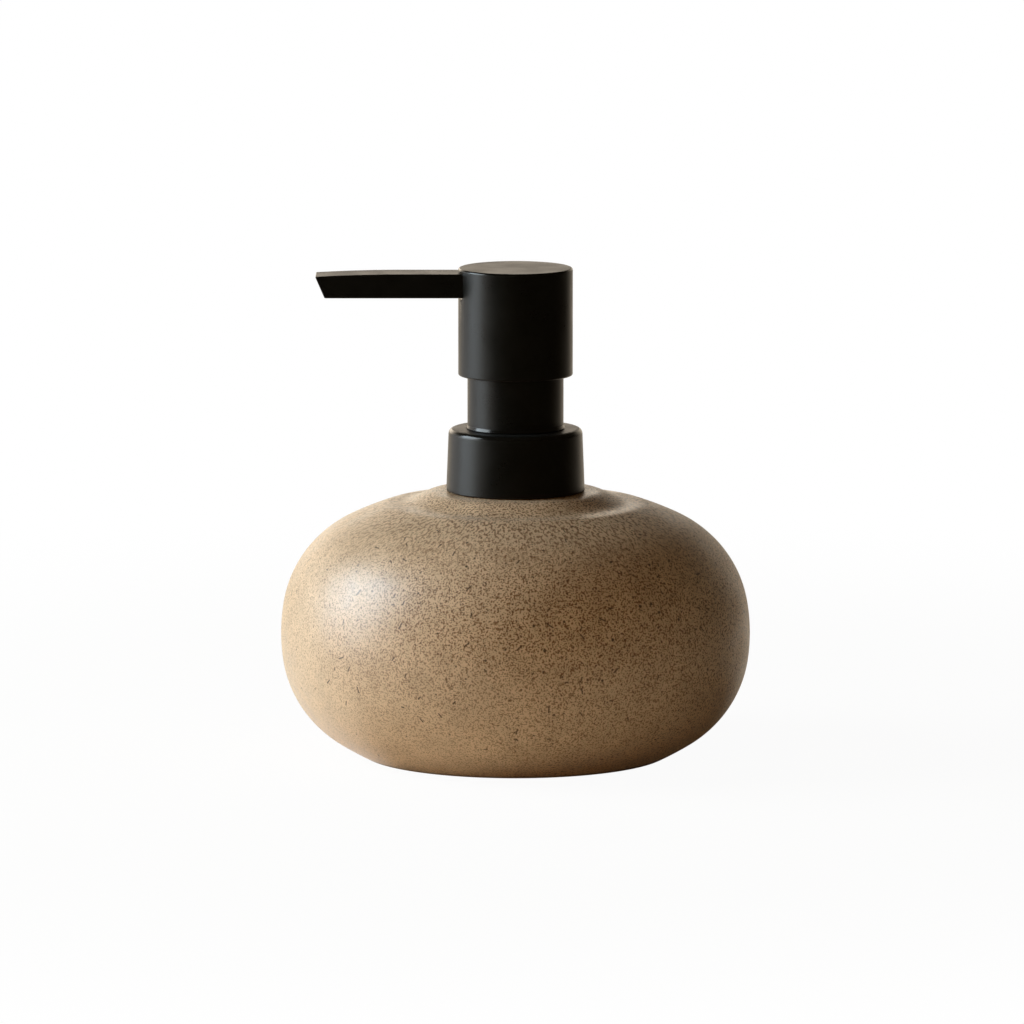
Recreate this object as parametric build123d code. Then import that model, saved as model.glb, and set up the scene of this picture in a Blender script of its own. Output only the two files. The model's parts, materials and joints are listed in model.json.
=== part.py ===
from build123d import *
import math
import os

# Soap pump dispenser: a stoneware bottle with a press pump screwed into its neck.
# Millimetres, +Z up, origin at the centre of the bottle's foot, spout along -X.

# Bottle
BODY_DIAMETER = 115.0
SIDE_ARC_RADIUS = 45.0
SIDE_ARC_TOP_ANGLE = 9.8
SIDE_ARC_BOTTOM_ANGLE = 7.9
CORNER_ARC_RADIUS = 28.0
SHOULDER_START_ANGLE = 64.5
UNDERSIDE_START_ANGLE = 57.9
SHOULDER_ARC_RADIUS = 80.0
UNDERSIDE_ARC_RADIUS = 80.0
FOOT_DIAMETER = 74.4
FOOT_EDGE_RADIUS = 1.0
FOOT_RING_WIDTH = 7.0
FOOT_RECESS_DEPTH = 1.2
BOTTLE_WALL = 4.5
FLOOR_THICKNESS = 6.0
LAND_MARGIN = 3.85
LAND_SLOPE_RUN = 3.9
LAND_RISE = 1.2
LAND_TOP_BLEND = 8.0
LAND_FOOT_BLEND = 20.0

# Stem
STEM_DIAMETER = 6.4
STEM_BORE = 3.8
STEM_PIN_DIAMETER = 4.4
STEM_FLOOR = 0.8
STEM_BEAD_DIAMETER = 8.8
STEM_BEAD_HEIGHT = 2.0
STEM_PORT_DIAMETER = 1.8

# Return spring and its seats
SPRING_WIRE = 0.9
SPRING_MEAN_DIAMETER = 9.2
SPRING_TURNS = 7.5
SPRING_SIDE_GAP = 1.15
SPRING_PILOT_GAP = 0.55
SPRING_SEAT_HEIGHT = 1.6
SPRING_SEAT_BAR = 1.8
SPRING_SEAT_LIP = 1.5
SPRING_PRESSED_PITCH = 1.31

# Piston and the seat that closes it
PISTON_TUBE_WALL = 1.55
PISTON_PORT_RELIEF = 0.8
PISTON_PORT_RELIEF_HEIGHT = 3.0
PISTON_SKIRT_WALL = 0.9
PISTON_WEB = 1.6
PISTON_TUBE_LENGTH = 8.3
PISTON_SKIRT_LENGTH = 7.5
PISTON_FLOAT = 1.2
SEAT_FLANGE_DIAMETER = 10.0
SEAT_FLANGE_HEIGHT = 2.0
SEAT_CONE_HEIGHT = 0.8
SEAT_PILOT_HEIGHT = 3.0

# Pump housing
BARREL_STEP = 1.6
BARREL_WALL = 1.2
BARREL_SPARE_LENGTH = 2.0
BARREL_TAPER_HEIGHT = 2.5
HOUSING_FLANGE_WIDTH = 3.6
HOUSING_FLANGE_HEIGHT = 1.2
VENT_DIAMETER = 1.2
VALVE_CHAMBER_GAP = 1.0
VALVE_SEAT_ANGLE = 45.0
BALL_DIAMETER = 6.0
BALL_LIFT = 1.2
INLET_BORE = 3.6
INLET_LENGTH = 1.2
SOCKET_LENGTH = 8.0
DIP_TUBE_DIAMETER = 5.2
DIP_TUBE_BORE = 3.6
DIP_TUBE_FLOOR_GAP = 2.0
DIP_TUBE_CUT_ANGLE = 30.0

# Stem guide and wiper
GUIDE_WALL = 2.35
GUIDE_PLUG_DEPTH = 8.0
GUIDE_FLANGE_HEIGHT = 1.4
GUIDE_STOP_DEPTH = 3.4
WIPER_WALL = 1.4
WIPER_HEIGHT = 2.0

# Neck ferrule, gasket, screw cap and collar shell
FERRULE_BARREL_GAP = 1.3
FERRULE_WALL = 2.15
FERRULE_HEIGHT = 10.55
FERRULE_FLANGE_WIDTH = 2.0
FERRULE_FLANGE_HEIGHT = 1.5
FERRULE_SPIGOT_LENGTH = 8.0
FERRULE_SPIGOT_WALL = 1.5
GLUE_GAP = 0.15
THREAD_PITCH = 4.233
THREAD_HEIGHT = 1.25
THREAD_ROOT_WIDTH = 2.3
THREAD_CREST_WIDTH = 1.1
THREAD_TURNS = 1.25
THREAD_CREST_GAP = 0.25
THREAD_FLANK_GAP = 0.3
THREAD_EMBED = 0.4
NECK_THREAD_EARLY_TURNS = 0.4
CAP_THREAD_HEIGHT = 1.0
CAP_THREAD_ROOT_WIDTH = 1.9
CAP_THREAD_CREST_WIDTH = 0.9
CAP_THREAD_LEAD_IN = 1.2
CAP_WALL = 1.4
CAP_WEB = 1.3
CAP_SKIRT_GAP = 0.4
GASKET_HEIGHT = 1.2
COLLAR_WALL = 1.0
COLLAR_DRAFT = 0.6
COLLAR_EDGE_RADIUS = 1.3
COLLAR_FOOT_CHAMFER = 0.25
COLLAR_LAND_GAP = 0.2

# Guide sleeve
SLEEVE_DIAMETER = 23.5
SLEEVE_WALL = 1.1
SLEEVE_FOOT_FLARE = 0.35
SLEEVE_FOOT_HEIGHT = 0.8

# Head: shell, core and spout
STROKE = 11.5
STROKE_SPARE = 1.6
HEAD_HEIGHT = 26.4
HEAD_WALL = 1.1
HEAD_TOP = 0.8
HEAD_TOP_EDGE_RADIUS = 0.55
HEAD_RIM_RADIUS = 0.4
CORE_SKIRT_WALL = 0.85
CORE_SKIRT_LENGTH = 6.0
CORE_PLATE = 2.0
CORE_HUB_WALL = 2.2
CORE_HUB_LENGTH = 8.0
CORE_STEM_FLOOR = 1.0
CORE_BLOCK_LENGTH = 16.0
CORE_BLOCK_WIDTH = 12.0
SPOUT_WIDTH = 10.0
SPOUT_HEIGHT = 5.9
SPOUT_REACH = 49.0
SPOUT_FLAT_REACH = 28.0
SPOUT_TIP_DROP = 0.6
SPOUT_TIP_OVERHANG = 2.3
SPOUT_EDGE_RADIUS = 0.3
SPOUT_CHANNEL = 3.2
SPOUT_SPIGOT_DIAMETER = 4.6
SPOUT_SPIGOT_LENGTH = 6.0
SLOT_GAP = 0.3
SLOT_CORNER_RADIUS = 0.8

# Clearances between pieces that move against each other
RUNNING_FIT = 0.05
LIP_FIT = 0.03
SEAT_GAP = 0.05
STOP_GAP = 0.2
TURN_GAP = 0.1
HUB_GAP = 0.5
SLEEVE_GAP = 0.3
FULL_PRESS_GAP = 0.5
SPRING_END_GAP = 0.03


def turned(*points):
    """Solid of revolution about Z of a closed outline of (radius, height) points."""
    return revolve(Plane.XZ * make_face(Polyline(*points, close=True)), Axis.Z)


def ring(inner, outer, low, high):
    """Plain ring between two radii and two heights."""
    return turned((inner, low), (outer, low), (outer, high), (inner, high))


def rod(radius, low, high):
    """Upright round rod on the Z axis."""
    return turned((0, low), (radius, low), (radius, high), (0, high))


# Radii, worked out from the stem outwards
stem_radius = STEM_DIAMETER / 2
stem_bore = STEM_BORE / 2
guide_bore = stem_radius + RUNNING_FIT
spring_inner = (SPRING_MEAN_DIAMETER - SPRING_WIRE) / 2
spring_outer = (SPRING_MEAN_DIAMETER + SPRING_WIRE) / 2
lower_bore = spring_outer + SPRING_SIDE_GAP
barrel_bore = lower_bore + BARREL_STEP
barrel_outer = barrel_bore + BARREL_WALL
lower_outer = lower_bore + BARREL_WALL
ball_radius = BALL_DIAMETER / 2
chamber_bore = ball_radius + VALVE_CHAMBER_GAP
ferrule_bore = barrel_outer + FERRULE_BARREL_GAP
thread_root = ferrule_bore + FERRULE_WALL
thread_crest = thread_root + THREAD_HEIGHT
cap_bore = thread_crest + THREAD_CREST_GAP
cap_outer = cap_bore + CAP_WALL
collar_top_radius = cap_outer + COLLAR_WALL
collar_foot_radius = collar_top_radius + COLLAR_DRAFT
spigot_radius = ferrule_bore + FERRULE_SPIGOT_WALL
mouth_radius = spigot_radius + GLUE_GAP
land_radius = collar_foot_radius + LAND_MARGIN
land_foot_radius = land_radius + LAND_SLOPE_RUN
sleeve_radius = SLEEVE_DIAMETER / 2
sleeve_inner = sleeve_radius - SLEEVE_WALL
skirt_inner = sleeve_radius + SLEEVE_GAP
head_inner = skirt_inner + CORE_SKIRT_WALL
head_radius = head_inner + HEAD_WALL

# Arc centres of the bottle's side, measured from its widest line
body_radius = BODY_DIAMETER / 2
side_centre = Vector(body_radius - SIDE_ARC_RADIUS, 0)


def beside(centre, old_radius, new_radius, angle):
    """Centre of an arc that carries on tangent from another arc at the given angle."""
    step = old_radius - new_radius
    turn = math.radians(angle)
    return centre + Vector(step * math.cos(turn), step * math.sin(turn))


upper_corner = beside(side_centre, SIDE_ARC_RADIUS, CORNER_ARC_RADIUS, SIDE_ARC_TOP_ANGLE)
shoulder_centre = beside(upper_corner, CORNER_ARC_RADIUS, SHOULDER_ARC_RADIUS, SHOULDER_START_ANGLE)
lower_corner = beside(side_centre, SIDE_ARC_RADIUS, CORNER_ARC_RADIUS, -SIDE_ARC_BOTTOM_ANGLE)
underside_centre = beside(lower_corner, CORNER_ARC_RADIUS, UNDERSIDE_ARC_RADIUS, -UNDERSIDE_START_ANGLE)


def angle_at_radius(centre, arc_radius, radius):
    """Upward angle at which an arc reaches a distance from the Z axis."""
    return math.degrees(math.acos((radius - centre.X) / arc_radius))


# The foot stands at height 0, which sets the height of the widest line
foot_radius = FOOT_DIAMETER / 2
base_radius = foot_radius - FOOT_RING_WIDTH
foot_angle = -angle_at_radius(underside_centre, UNDERSIDE_ARC_RADIUS, foot_radius)
belly_z = -(underside_centre.Y + UNDERSIDE_ARC_RADIUS * math.sin(math.radians(foot_angle)))
land_foot_angle = angle_at_radius(shoulder_centre, SHOULDER_ARC_RADIUS, land_foot_radius)
land_foot_z = belly_z + shoulder_centre.Y + SHOULDER_ARC_RADIUS * math.sin(math.radians(land_foot_angle))
land_z = land_foot_z + LAND_RISE

# Heights above the land: neck, gasket, flange, cap and collar
ferrule_flange_z = land_z + FERRULE_FLANGE_HEIGHT
ferrule_top_z = land_z + FERRULE_HEIGHT
gasket_z = ferrule_top_z + SEAT_GAP
flange_z = gasket_z + GASKET_HEIGHT
flange_top_z = flange_z + HOUSING_FLANGE_HEIGHT
cap_web_z = flange_top_z + TURN_GAP
cap_top_z = cap_web_z + CAP_WEB
collar_top_z = cap_top_z + COLLAR_WALL
collar_foot_z = land_z + COLLAR_LAND_GAP
cap_foot_z = ferrule_flange_z + CAP_SKIRT_GAP
guide_z = collar_top_z + TURN_GAP

# Heights of the head at rest
head_z = collar_top_z + STROKE + STROKE_SPARE
head_top_z = head_z + HEAD_HEIGHT
ceiling_z = head_top_z - HEAD_TOP
spout_top_z = ceiling_z - SLOT_GAP
spout_z = spout_top_z - SPOUT_HEIGHT
plate_z = spout_z - CORE_PLATE
hub_z = plate_z - CORE_HUB_LENGTH
sleeve_top_z = plate_z - STROKE - FULL_PRESS_GAP
guide_top_z = hub_z - STROKE - FULL_PRESS_GAP
stem_top_z = spout_z - CORE_STEM_FLOOR - SEAT_GAP

# Heights of the pump works below the flange, at rest
plug_z = flange_top_z - GUIDE_PLUG_DEPTH
stop_z = plug_z + GUIDE_STOP_DEPTH
bead_top_z = stop_z - STOP_GAP
bead_z = bead_top_z - STEM_BEAD_HEIGHT
piston_top_z = bead_z - PISTON_FLOAT - STOP_GAP
piston_z = piston_top_z - PISTON_TUBE_LENGTH
seat_top_z = piston_z - SEAT_GAP
stem_end_z = seat_top_z
spring_top_z = seat_top_z - SEAT_CONE_HEIGHT - SEAT_FLANGE_HEIGHT
seat_pilot_z = spring_top_z - SEAT_PILOT_HEIGHT
port_z = piston_z + PISTON_PORT_RELIEF_HEIGHT / 2
spring_pressed = SPRING_TURNS * SPRING_PRESSED_PITCH
spring_z = spring_top_z - STROKE - spring_pressed
barrel_end_z = piston_z - STROKE - BARREL_SPARE_LENGTH
taper_end_z = barrel_end_z - BARREL_TAPER_HEIGHT
ledge_z = spring_z - SPRING_SEAT_HEIGHT
ball_top_z = ledge_z - BALL_LIFT - STOP_GAP
ball_z = ball_top_z - ball_radius
vent_z = piston_z + PISTON_TUBE_LENGTH / 2

# The ball rests on a cone, where the cone's wall is as steep as VALVE_SEAT_ANGLE
seat_slope = math.radians(VALVE_SEAT_ANGLE)
inlet_radius = INLET_BORE / 2
cone_apex_z = ball_z - (ball_radius + SEAT_GAP) / math.cos(seat_slope)
cone_low_z = cone_apex_z + inlet_radius * math.tan(seat_slope)
cone_high_z = cone_apex_z + chamber_bore * math.tan(seat_slope)
socket_top_z = cone_low_z - INLET_LENGTH
socket_z = socket_top_z - SOCKET_LENGTH
dip_radius = DIP_TUBE_DIAMETER / 2
socket_outer = dip_radius + BARREL_WALL
chamber_outer = chamber_bore + BARREL_WALL


def side_arcs(inset, top_angle, bottom_angle):
    """Bottle's side as tangent arcs, set in from the outside, from the land down to the foot.

    Each row holds an arc's centre, its radius outside and the two angles it runs between.
    """
    rows = (
        (shoulder_centre, SHOULDER_ARC_RADIUS, SHOULDER_START_ANGLE, top_angle),
        (upper_corner, CORNER_ARC_RADIUS, SIDE_ARC_TOP_ANGLE, SHOULDER_START_ANGLE),
        (side_centre, SIDE_ARC_RADIUS, -SIDE_ARC_BOTTOM_ANGLE, SIDE_ARC_TOP_ANGLE),
        (lower_corner, CORNER_ARC_RADIUS, -UNDERSIDE_START_ANGLE, -SIDE_ARC_BOTTOM_ANGLE),
        (underside_centre, UNDERSIDE_ARC_RADIUS, bottom_angle, -UNDERSIDE_START_ANGLE),
    )
    lift = Vector(0, belly_z)
    return [CenterArc(centre + lift, radius - inset, low, high - low) for centre, radius, low, high in rows]


def bottle():
    """Hollow stoneware body on a foot ring, with a land round the mouth, open where the base disc goes."""
    outside = side_arcs(0, land_foot_angle, foot_angle)
    land_foot = outside[0] @ 1
    foot_edge = outside[-1] @ 0
    land_line = Polyline(land_foot, (land_radius, land_z), (0, land_z), (0, 0), foot_edge)
    profile = make_face([*outside, land_line])
    foot_corner = profile.vertices().sort_by_distance(foot_edge)[0]
    profile = fillet(foot_corner, FOOT_EDGE_RADIUS)
    land_edge = profile.vertices().sort_by_distance((land_radius, land_z))[0]
    profile = fillet(land_edge, LAND_TOP_BLEND)
    land_bend = profile.vertices().sort_by_distance(land_foot)[0]
    profile = fillet(land_bend, LAND_FOOT_BLEND)
    body = revolve(Plane.XZ * profile, Axis.Z)

    mouth_angle = angle_at_radius(shoulder_centre, SHOULDER_ARC_RADIUS - BOTTLE_WALL, mouth_radius)
    floor_drop = (underside_centre.Y + belly_z - FLOOR_THICKNESS) / (UNDERSIDE_ARC_RADIUS - BOTTLE_WALL)
    floor_angle = -math.degrees(math.asin(floor_drop))
    inside = side_arcs(BOTTLE_WALL, mouth_angle, floor_angle)
    mouth_edge = inside[0] @ 1
    floor_edge = inside[-1] @ 0
    axis_line = Polyline(mouth_edge, (0, mouth_edge.Y), (0, FLOOR_THICKNESS), floor_edge)
    cavity = revolve(Plane.XZ * make_face([*inside, axis_line]), Axis.Z)
    mouth = rod(mouth_radius, mouth_edge.Y - BOTTLE_WALL, land_z + BOTTLE_WALL)
    base_opening = rod(base_radius, -FLOOR_THICKNESS, 2 * FLOOR_THICKNESS)
    return body - cavity - mouth - base_opening


def base_disc():
    """Stoneware disc that closes the bottle's underside, set back inside the foot ring."""
    return rod(base_radius, FOOT_RECESS_DEPTH, FLOOR_THICKNESS)


def thread_ridge(root, crest, root_width, crest_width, low, early_turns):
    """Helical ridge of a thread, from a root radius to a crest radius.

    The ridge starts a number of turns before the height where its screw line crosses the XZ plane.
    """
    path = Helix(THREAD_PITCH, THREAD_PITCH * THREAD_TURNS, root)
    section = Plane(origin=path @ 0, x_dir=(1, 0, 0), z_dir=path % 0)
    sunk = math.copysign(THREAD_EMBED, root - crest)
    outline = Polyline(
        (sunk, -root_width / 2),
        (0, -root_width / 2),
        (crest - root, -crest_width / 2),
        (crest - root, crest_width / 2),
        (0, root_width / 2),
        (sunk, root_width / 2),
        close=True,
    )
    ridge = sweep(section * make_face(outline), path=path, is_frenet=True)
    return Pos(0, 0, low - early_turns * THREAD_PITCH) * Rot(0, 0, -360 * early_turns) * ridge


mean_flanks = (THREAD_ROOT_WIDTH + THREAD_CREST_WIDTH + CAP_THREAD_ROOT_WIDTH + CAP_THREAD_CREST_WIDTH) / 4
cap_thread_z = cap_foot_z + CAP_THREAD_LEAD_IN
neck_thread_z = cap_thread_z + mean_flanks + THREAD_FLANK_GAP


def neck_ferrule():
    """Threaded insert whose flange sits on the land and whose spigot is glued in the mouth."""
    tube = turned(
        (ferrule_bore, land_z - FERRULE_SPIGOT_LENGTH),
        (spigot_radius, land_z - FERRULE_SPIGOT_LENGTH),
        (spigot_radius, land_z),
        (thread_root + FERRULE_FLANGE_WIDTH, land_z),
        (thread_root + FERRULE_FLANGE_WIDTH, ferrule_flange_z),
        (thread_root, ferrule_flange_z),
        (thread_root, ferrule_top_z),
        (ferrule_bore, ferrule_top_z),
    )
    ridge = thread_ridge(
        thread_root,
        thread_crest,
        THREAD_ROOT_WIDTH,
        THREAD_CREST_WIDTH,
        neck_thread_z,
        NECK_THREAD_EARLY_TURNS,
    )
    return tube + ridge


def neck_gasket():
    """Washer between the ferrule and the housing's flange."""
    return ring(barrel_outer, thread_root, gasket_z, flange_z)


def screw_cap():
    """Threaded closure that turns round the stem guide and clamps the housing's flange."""
    cup = turned(
        (cap_bore, cap_foot_z),
        (cap_outer, cap_foot_z),
        (cap_outer, cap_top_z),
        (barrel_bore + HUB_GAP, cap_top_z),
        (barrel_bore + HUB_GAP, cap_web_z),
        (cap_bore, cap_web_z),
    )
    ridge = thread_ridge(
        cap_bore,
        cap_bore - CAP_THREAD_HEIGHT,
        CAP_THREAD_ROOT_WIDTH,
        CAP_THREAD_CREST_WIDTH,
        cap_thread_z,
        0,
    )
    return cup + ridge


def collar_shell():
    """Smooth outer collar over the screw cap, slightly wider at its foot."""
    outline = Polyline(
        (cap_outer, collar_foot_z),
        (collar_foot_radius - COLLAR_FOOT_CHAMFER, collar_foot_z),
        (collar_foot_radius, collar_foot_z + COLLAR_FOOT_CHAMFER),
        (collar_top_radius, collar_top_z),
        (barrel_bore + HUB_GAP, collar_top_z),
        (barrel_bore + HUB_GAP, cap_top_z),
        (cap_outer, cap_top_z),
        close=True,
    )
    profile = make_face(outline)
    top_edge = profile.vertices().sort_by_distance((collar_top_radius, collar_top_z))[0]
    return revolve(Plane.XZ * fillet(top_edge, COLLAR_EDGE_RADIUS), Axis.Z)


def pump_housing():
    """Barrel with a flange at its top, a valve seat near its foot and a socket for the dip tube."""
    body = turned(
        (barrel_bore, flange_top_z),
        (barrel_outer + HOUSING_FLANGE_WIDTH, flange_top_z),
        (barrel_outer + HOUSING_FLANGE_WIDTH, flange_z),
        (barrel_outer, flange_z),
        (barrel_outer, barrel_end_z),
        (lower_outer, taper_end_z),
        (lower_outer, ledge_z - BARREL_WALL),
        (chamber_outer, ledge_z - BARREL_WALL),
        (chamber_outer, cone_low_z),
        (socket_outer, cone_low_z - BARREL_WALL),
        (socket_outer, socket_z),
        (dip_radius, socket_z),
        (dip_radius, socket_top_z),
        (inlet_radius, socket_top_z),
        (inlet_radius, cone_low_z),
        (chamber_bore, cone_high_z),
        (chamber_bore, ledge_z),
        (lower_bore, ledge_z),
        (lower_bore, taper_end_z),
        (barrel_bore, barrel_end_z),
    )
    vent = Pos(barrel_bore, 0, vent_z) * Rot(0, 90, 0) * Cylinder(VENT_DIAMETER / 2, barrel_bore)
    return body - vent


def dip_tube():
    """Suction tube from the housing's socket to just above the bottle's floor, cut at a slant."""
    foot_z = FLOOR_THICKNESS + DIP_TUBE_FLOOR_GAP
    tube = ring(DIP_TUBE_BORE / 2, dip_radius, foot_z, socket_top_z)
    rise = DIP_TUBE_DIAMETER * math.tan(math.radians(DIP_TUBE_CUT_ANGLE))
    wedge = Polyline((-dip_radius, foot_z), (dip_radius, foot_z), (dip_radius, foot_z + rise), close=True)
    return tube - extrude(Plane.XZ * make_face(wedge), amount=dip_radius, both=True)


def inlet_ball():
    """Valve ball on its seat."""
    return Pos(0, 0, ball_z) * Sphere(ball_radius)


def spring_seat():
    """Ring under the spring, with a cross bar that keeps the ball below it."""
    plate = ring(lower_bore - SPRING_SEAT_LIP, lower_bore, ledge_z, spring_z)
    span = 2 * (lower_bore - SPRING_SEAT_LIP / 2)
    bar = Pos(0, 0, ledge_z) * Box(
        span, SPRING_SEAT_BAR, SPRING_SEAT_HEIGHT, align=(Align.CENTER, Align.CENTER, Align.MIN)
    )
    return plate + bar


def helix_point(turns, radius, low, pitch):
    """Point on the spring's centre line after a number of turns, and the direction there."""
    angle = 2 * math.pi * turns
    point = Vector(radius * math.cos(angle), radius * math.sin(angle), low + pitch * turns)
    heading = Vector(-radius * math.sin(angle), radius * math.cos(angle), pitch / (2 * math.pi))
    return point, heading.normalized()


def tangent_pair(start, start_heading, end, end_heading):
    """Two tangent arcs that join two points and follow a heading at each."""
    span = end - start
    headings = start_heading + end_heading
    bend = 2 * (1 - start_heading.dot(end_heading))
    along = span.dot(headings)
    reach = (math.sqrt(along**2 + bend * span.dot(span)) - along) / bend
    middle = (start + start_heading * reach + end - end_heading * reach) * 0.5
    first = TangentArc(start, middle, tangent=start_heading)
    return first, TangentArc(middle, end, tangent=first % 1)


def return_spring():
    """Coil spring as one tube, swept along a chain of tangent arcs, four pairs to a turn."""
    radius = SPRING_MEAN_DIAMETER / 2
    low = spring_z + SPRING_WIRE / 2 + SPRING_END_GAP
    high = spring_top_z - SPRING_WIRE / 2 - SPRING_END_GAP
    pitch = (high - low) / SPRING_TURNS
    quarters = round(SPRING_TURNS * 4)
    knots = [helix_point(step * SPRING_TURNS / quarters, radius, low, pitch) for step in range(quarters + 1)]
    arcs = []
    for (start, start_heading), (end, end_heading) in zip(knots, knots[1:]):
        arcs.extend(tangent_pair(start, start_heading, end, end_heading))
    path = Wire(arcs)
    section = Plane(origin=knots[0][0], z_dir=knots[0][1]) * Circle(SPRING_WIRE / 2)
    points = [path @ (step / (quarters * 8)) for step in range(quarters * 8 + 1)]
    apart = quarters * 8 // round(SPRING_TURNS * 2)
    gaps = [(a - b).length for i, a in enumerate(points) for b in points[i + apart:]]
    print("return_spring least gap to itself", round(min(gaps) - SPRING_WIRE, 2), "mm")
    return sweep(section, path=path)


def piston():
    """Floating seal: a tube on the stem and a skirt with two lips, joined by a web."""
    tube_bore = stem_radius + RUNNING_FIT
    tube_outer = tube_bore + PISTON_TUBE_WALL
    relief = tube_bore + PISTON_PORT_RELIEF
    skirt_outer = barrel_bore - LIP_FIT
    skirt_bore = skirt_outer - PISTON_SKIRT_WALL
    waist = skirt_outer - PISTON_SKIRT_WALL / 3
    skirt_top_z = piston_z + PISTON_SKIRT_LENGTH
    web_z = piston_z + (PISTON_SKIRT_LENGTH - PISTON_WEB) / 2
    relief_top_z = piston_z + PISTON_PORT_RELIEF_HEIGHT
    return turned(
        (relief, piston_z),
        (tube_outer, piston_z),
        (tube_outer, web_z),
        (skirt_bore, web_z),
        (skirt_bore, piston_z),
        (skirt_outer, piston_z),
        (waist, web_z),
        (waist, web_z + PISTON_WEB),
        (skirt_outer, skirt_top_z),
        (skirt_bore, skirt_top_z),
        (skirt_bore, web_z + PISTON_WEB),
        (tube_outer, web_z + PISTON_WEB),
        (tube_outer, piston_top_z),
        (tube_bore, piston_top_z),
        (tube_bore, relief_top_z),
        (relief, relief_top_z),
    )


def piston_seat():
    """Flanged bush on the stem's pin, which closes the piston from below and carries the spring."""
    bore = STEM_PIN_DIAMETER / 2
    pilot = spring_inner - SPRING_PILOT_GAP
    flange = SEAT_FLANGE_DIAMETER / 2
    return turned(
        (bore, seat_pilot_z),
        (pilot, seat_pilot_z),
        (pilot, spring_top_z),
        (flange, spring_top_z),
        (flange, spring_top_z + SEAT_FLANGE_HEIGHT),
        (stem_radius, seat_top_z),
        (bore, seat_top_z),
    )


def stem():
    """Hollow plunger rod with a stop bead, two pairs of side ports and a solid pin below."""
    bead = STEM_BEAD_DIAMETER / 2
    pin = STEM_PIN_DIAMETER / 2
    body = turned(
        (0, seat_pilot_z),
        (pin, seat_pilot_z),
        (pin, stem_end_z),
        (stem_radius, stem_end_z),
        (stem_radius, bead_z),
        (bead, bead_z),
        (bead, bead_top_z),
        (stem_radius, bead_top_z),
        (stem_radius, stem_top_z),
        (stem_bore, stem_top_z),
        (stem_bore, stem_end_z + STEM_FLOOR),
        (0, stem_end_z + STEM_FLOOR),
    )
    for turn in (0, 90):
        body -= Pos(0, 0, port_z) * Rot(0, 90, turn) * Cylinder(STEM_PORT_DIAMETER / 2, 2 * STEM_DIAMETER)
    return body


def stem_guide():
    """Plug that snaps into the barrel, with a flange over the collar and a tall bore for the stem."""
    outer = guide_bore + GUIDE_WALL
    stop_bore = STEM_BEAD_DIAMETER / 2 + HUB_GAP
    wiper_bore = stem_radius + WIPER_WALL
    return turned(
        (stop_bore, plug_z),
        (barrel_bore, plug_z),
        (barrel_bore, guide_z),
        (sleeve_inner, guide_z),
        (sleeve_inner, guide_z + GUIDE_FLANGE_HEIGHT),
        (outer, guide_z + GUIDE_FLANGE_HEIGHT),
        (outer, guide_top_z),
        (wiper_bore, guide_top_z),
        (wiper_bore, guide_top_z - WIPER_HEIGHT),
        (guide_bore, guide_top_z - WIPER_HEIGHT),
        (guide_bore, stop_z),
        (stop_bore, stop_z),
    )


def stem_wiper():
    """Seal ring in the top of the stem guide."""
    return ring(stem_radius + LIP_FIT, stem_radius + WIPER_WALL, guide_top_z - WIPER_HEIGHT, guide_top_z)


def guide_sleeve():
    """Outer tube round the stem guide, flared a little at its foot."""
    return turned(
        (sleeve_inner, guide_z),
        (sleeve_radius + SLEEVE_FOOT_FLARE, guide_z),
        (sleeve_radius, guide_z + SLEEVE_FOOT_HEIGHT),
        (sleeve_radius, sleeve_top_z),
        (sleeve_inner, sleeve_top_z),
    )


def actuator_core():
    """Plug inside the head: stem socket below, plate and skirt in the shell, spout socket on top."""
    socket = stem_radius + RUNNING_FIT
    hub = socket + CORE_HUB_WALL
    channel = SPOUT_CHANNEL / 2
    skirt_z = plate_z - CORE_SKIRT_LENGTH
    turned_part = turned(
        (channel, spout_z),
        (channel, spout_z - CORE_STEM_FLOOR),
        (socket, spout_z - CORE_STEM_FLOOR),
        (socket, hub_z),
        (hub, hub_z),
        (hub, plate_z),
        (skirt_inner, plate_z),
        (skirt_inner, skirt_z),
        (head_inner, skirt_z),
        (head_inner, spout_z),
    )
    block_height = ceiling_z - spout_z
    block = Pos(0, 0, spout_z) * Box(
        CORE_BLOCK_LENGTH, CORE_BLOCK_WIDTH, block_height, align=(Align.CENTER, Align.CENTER, Align.MIN)
    )
    spigot_z = spout_z + SPOUT_HEIGHT / 2
    block -= rod(channel, spout_z, spigot_z)
    front = Plane(origin=(-CORE_BLOCK_LENGTH / 2, 0, spigot_z), x_dir=(0, 1, 0), z_dir=(1, 0, 0))
    block -= extrude(front * Circle(SPOUT_SPIGOT_DIAMETER / 2), amount=SPOUT_SPIGOT_LENGTH)
    block -= extrude(front * Circle(channel), amount=CORE_BLOCK_LENGTH / 2)
    return turned_part + block


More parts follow.
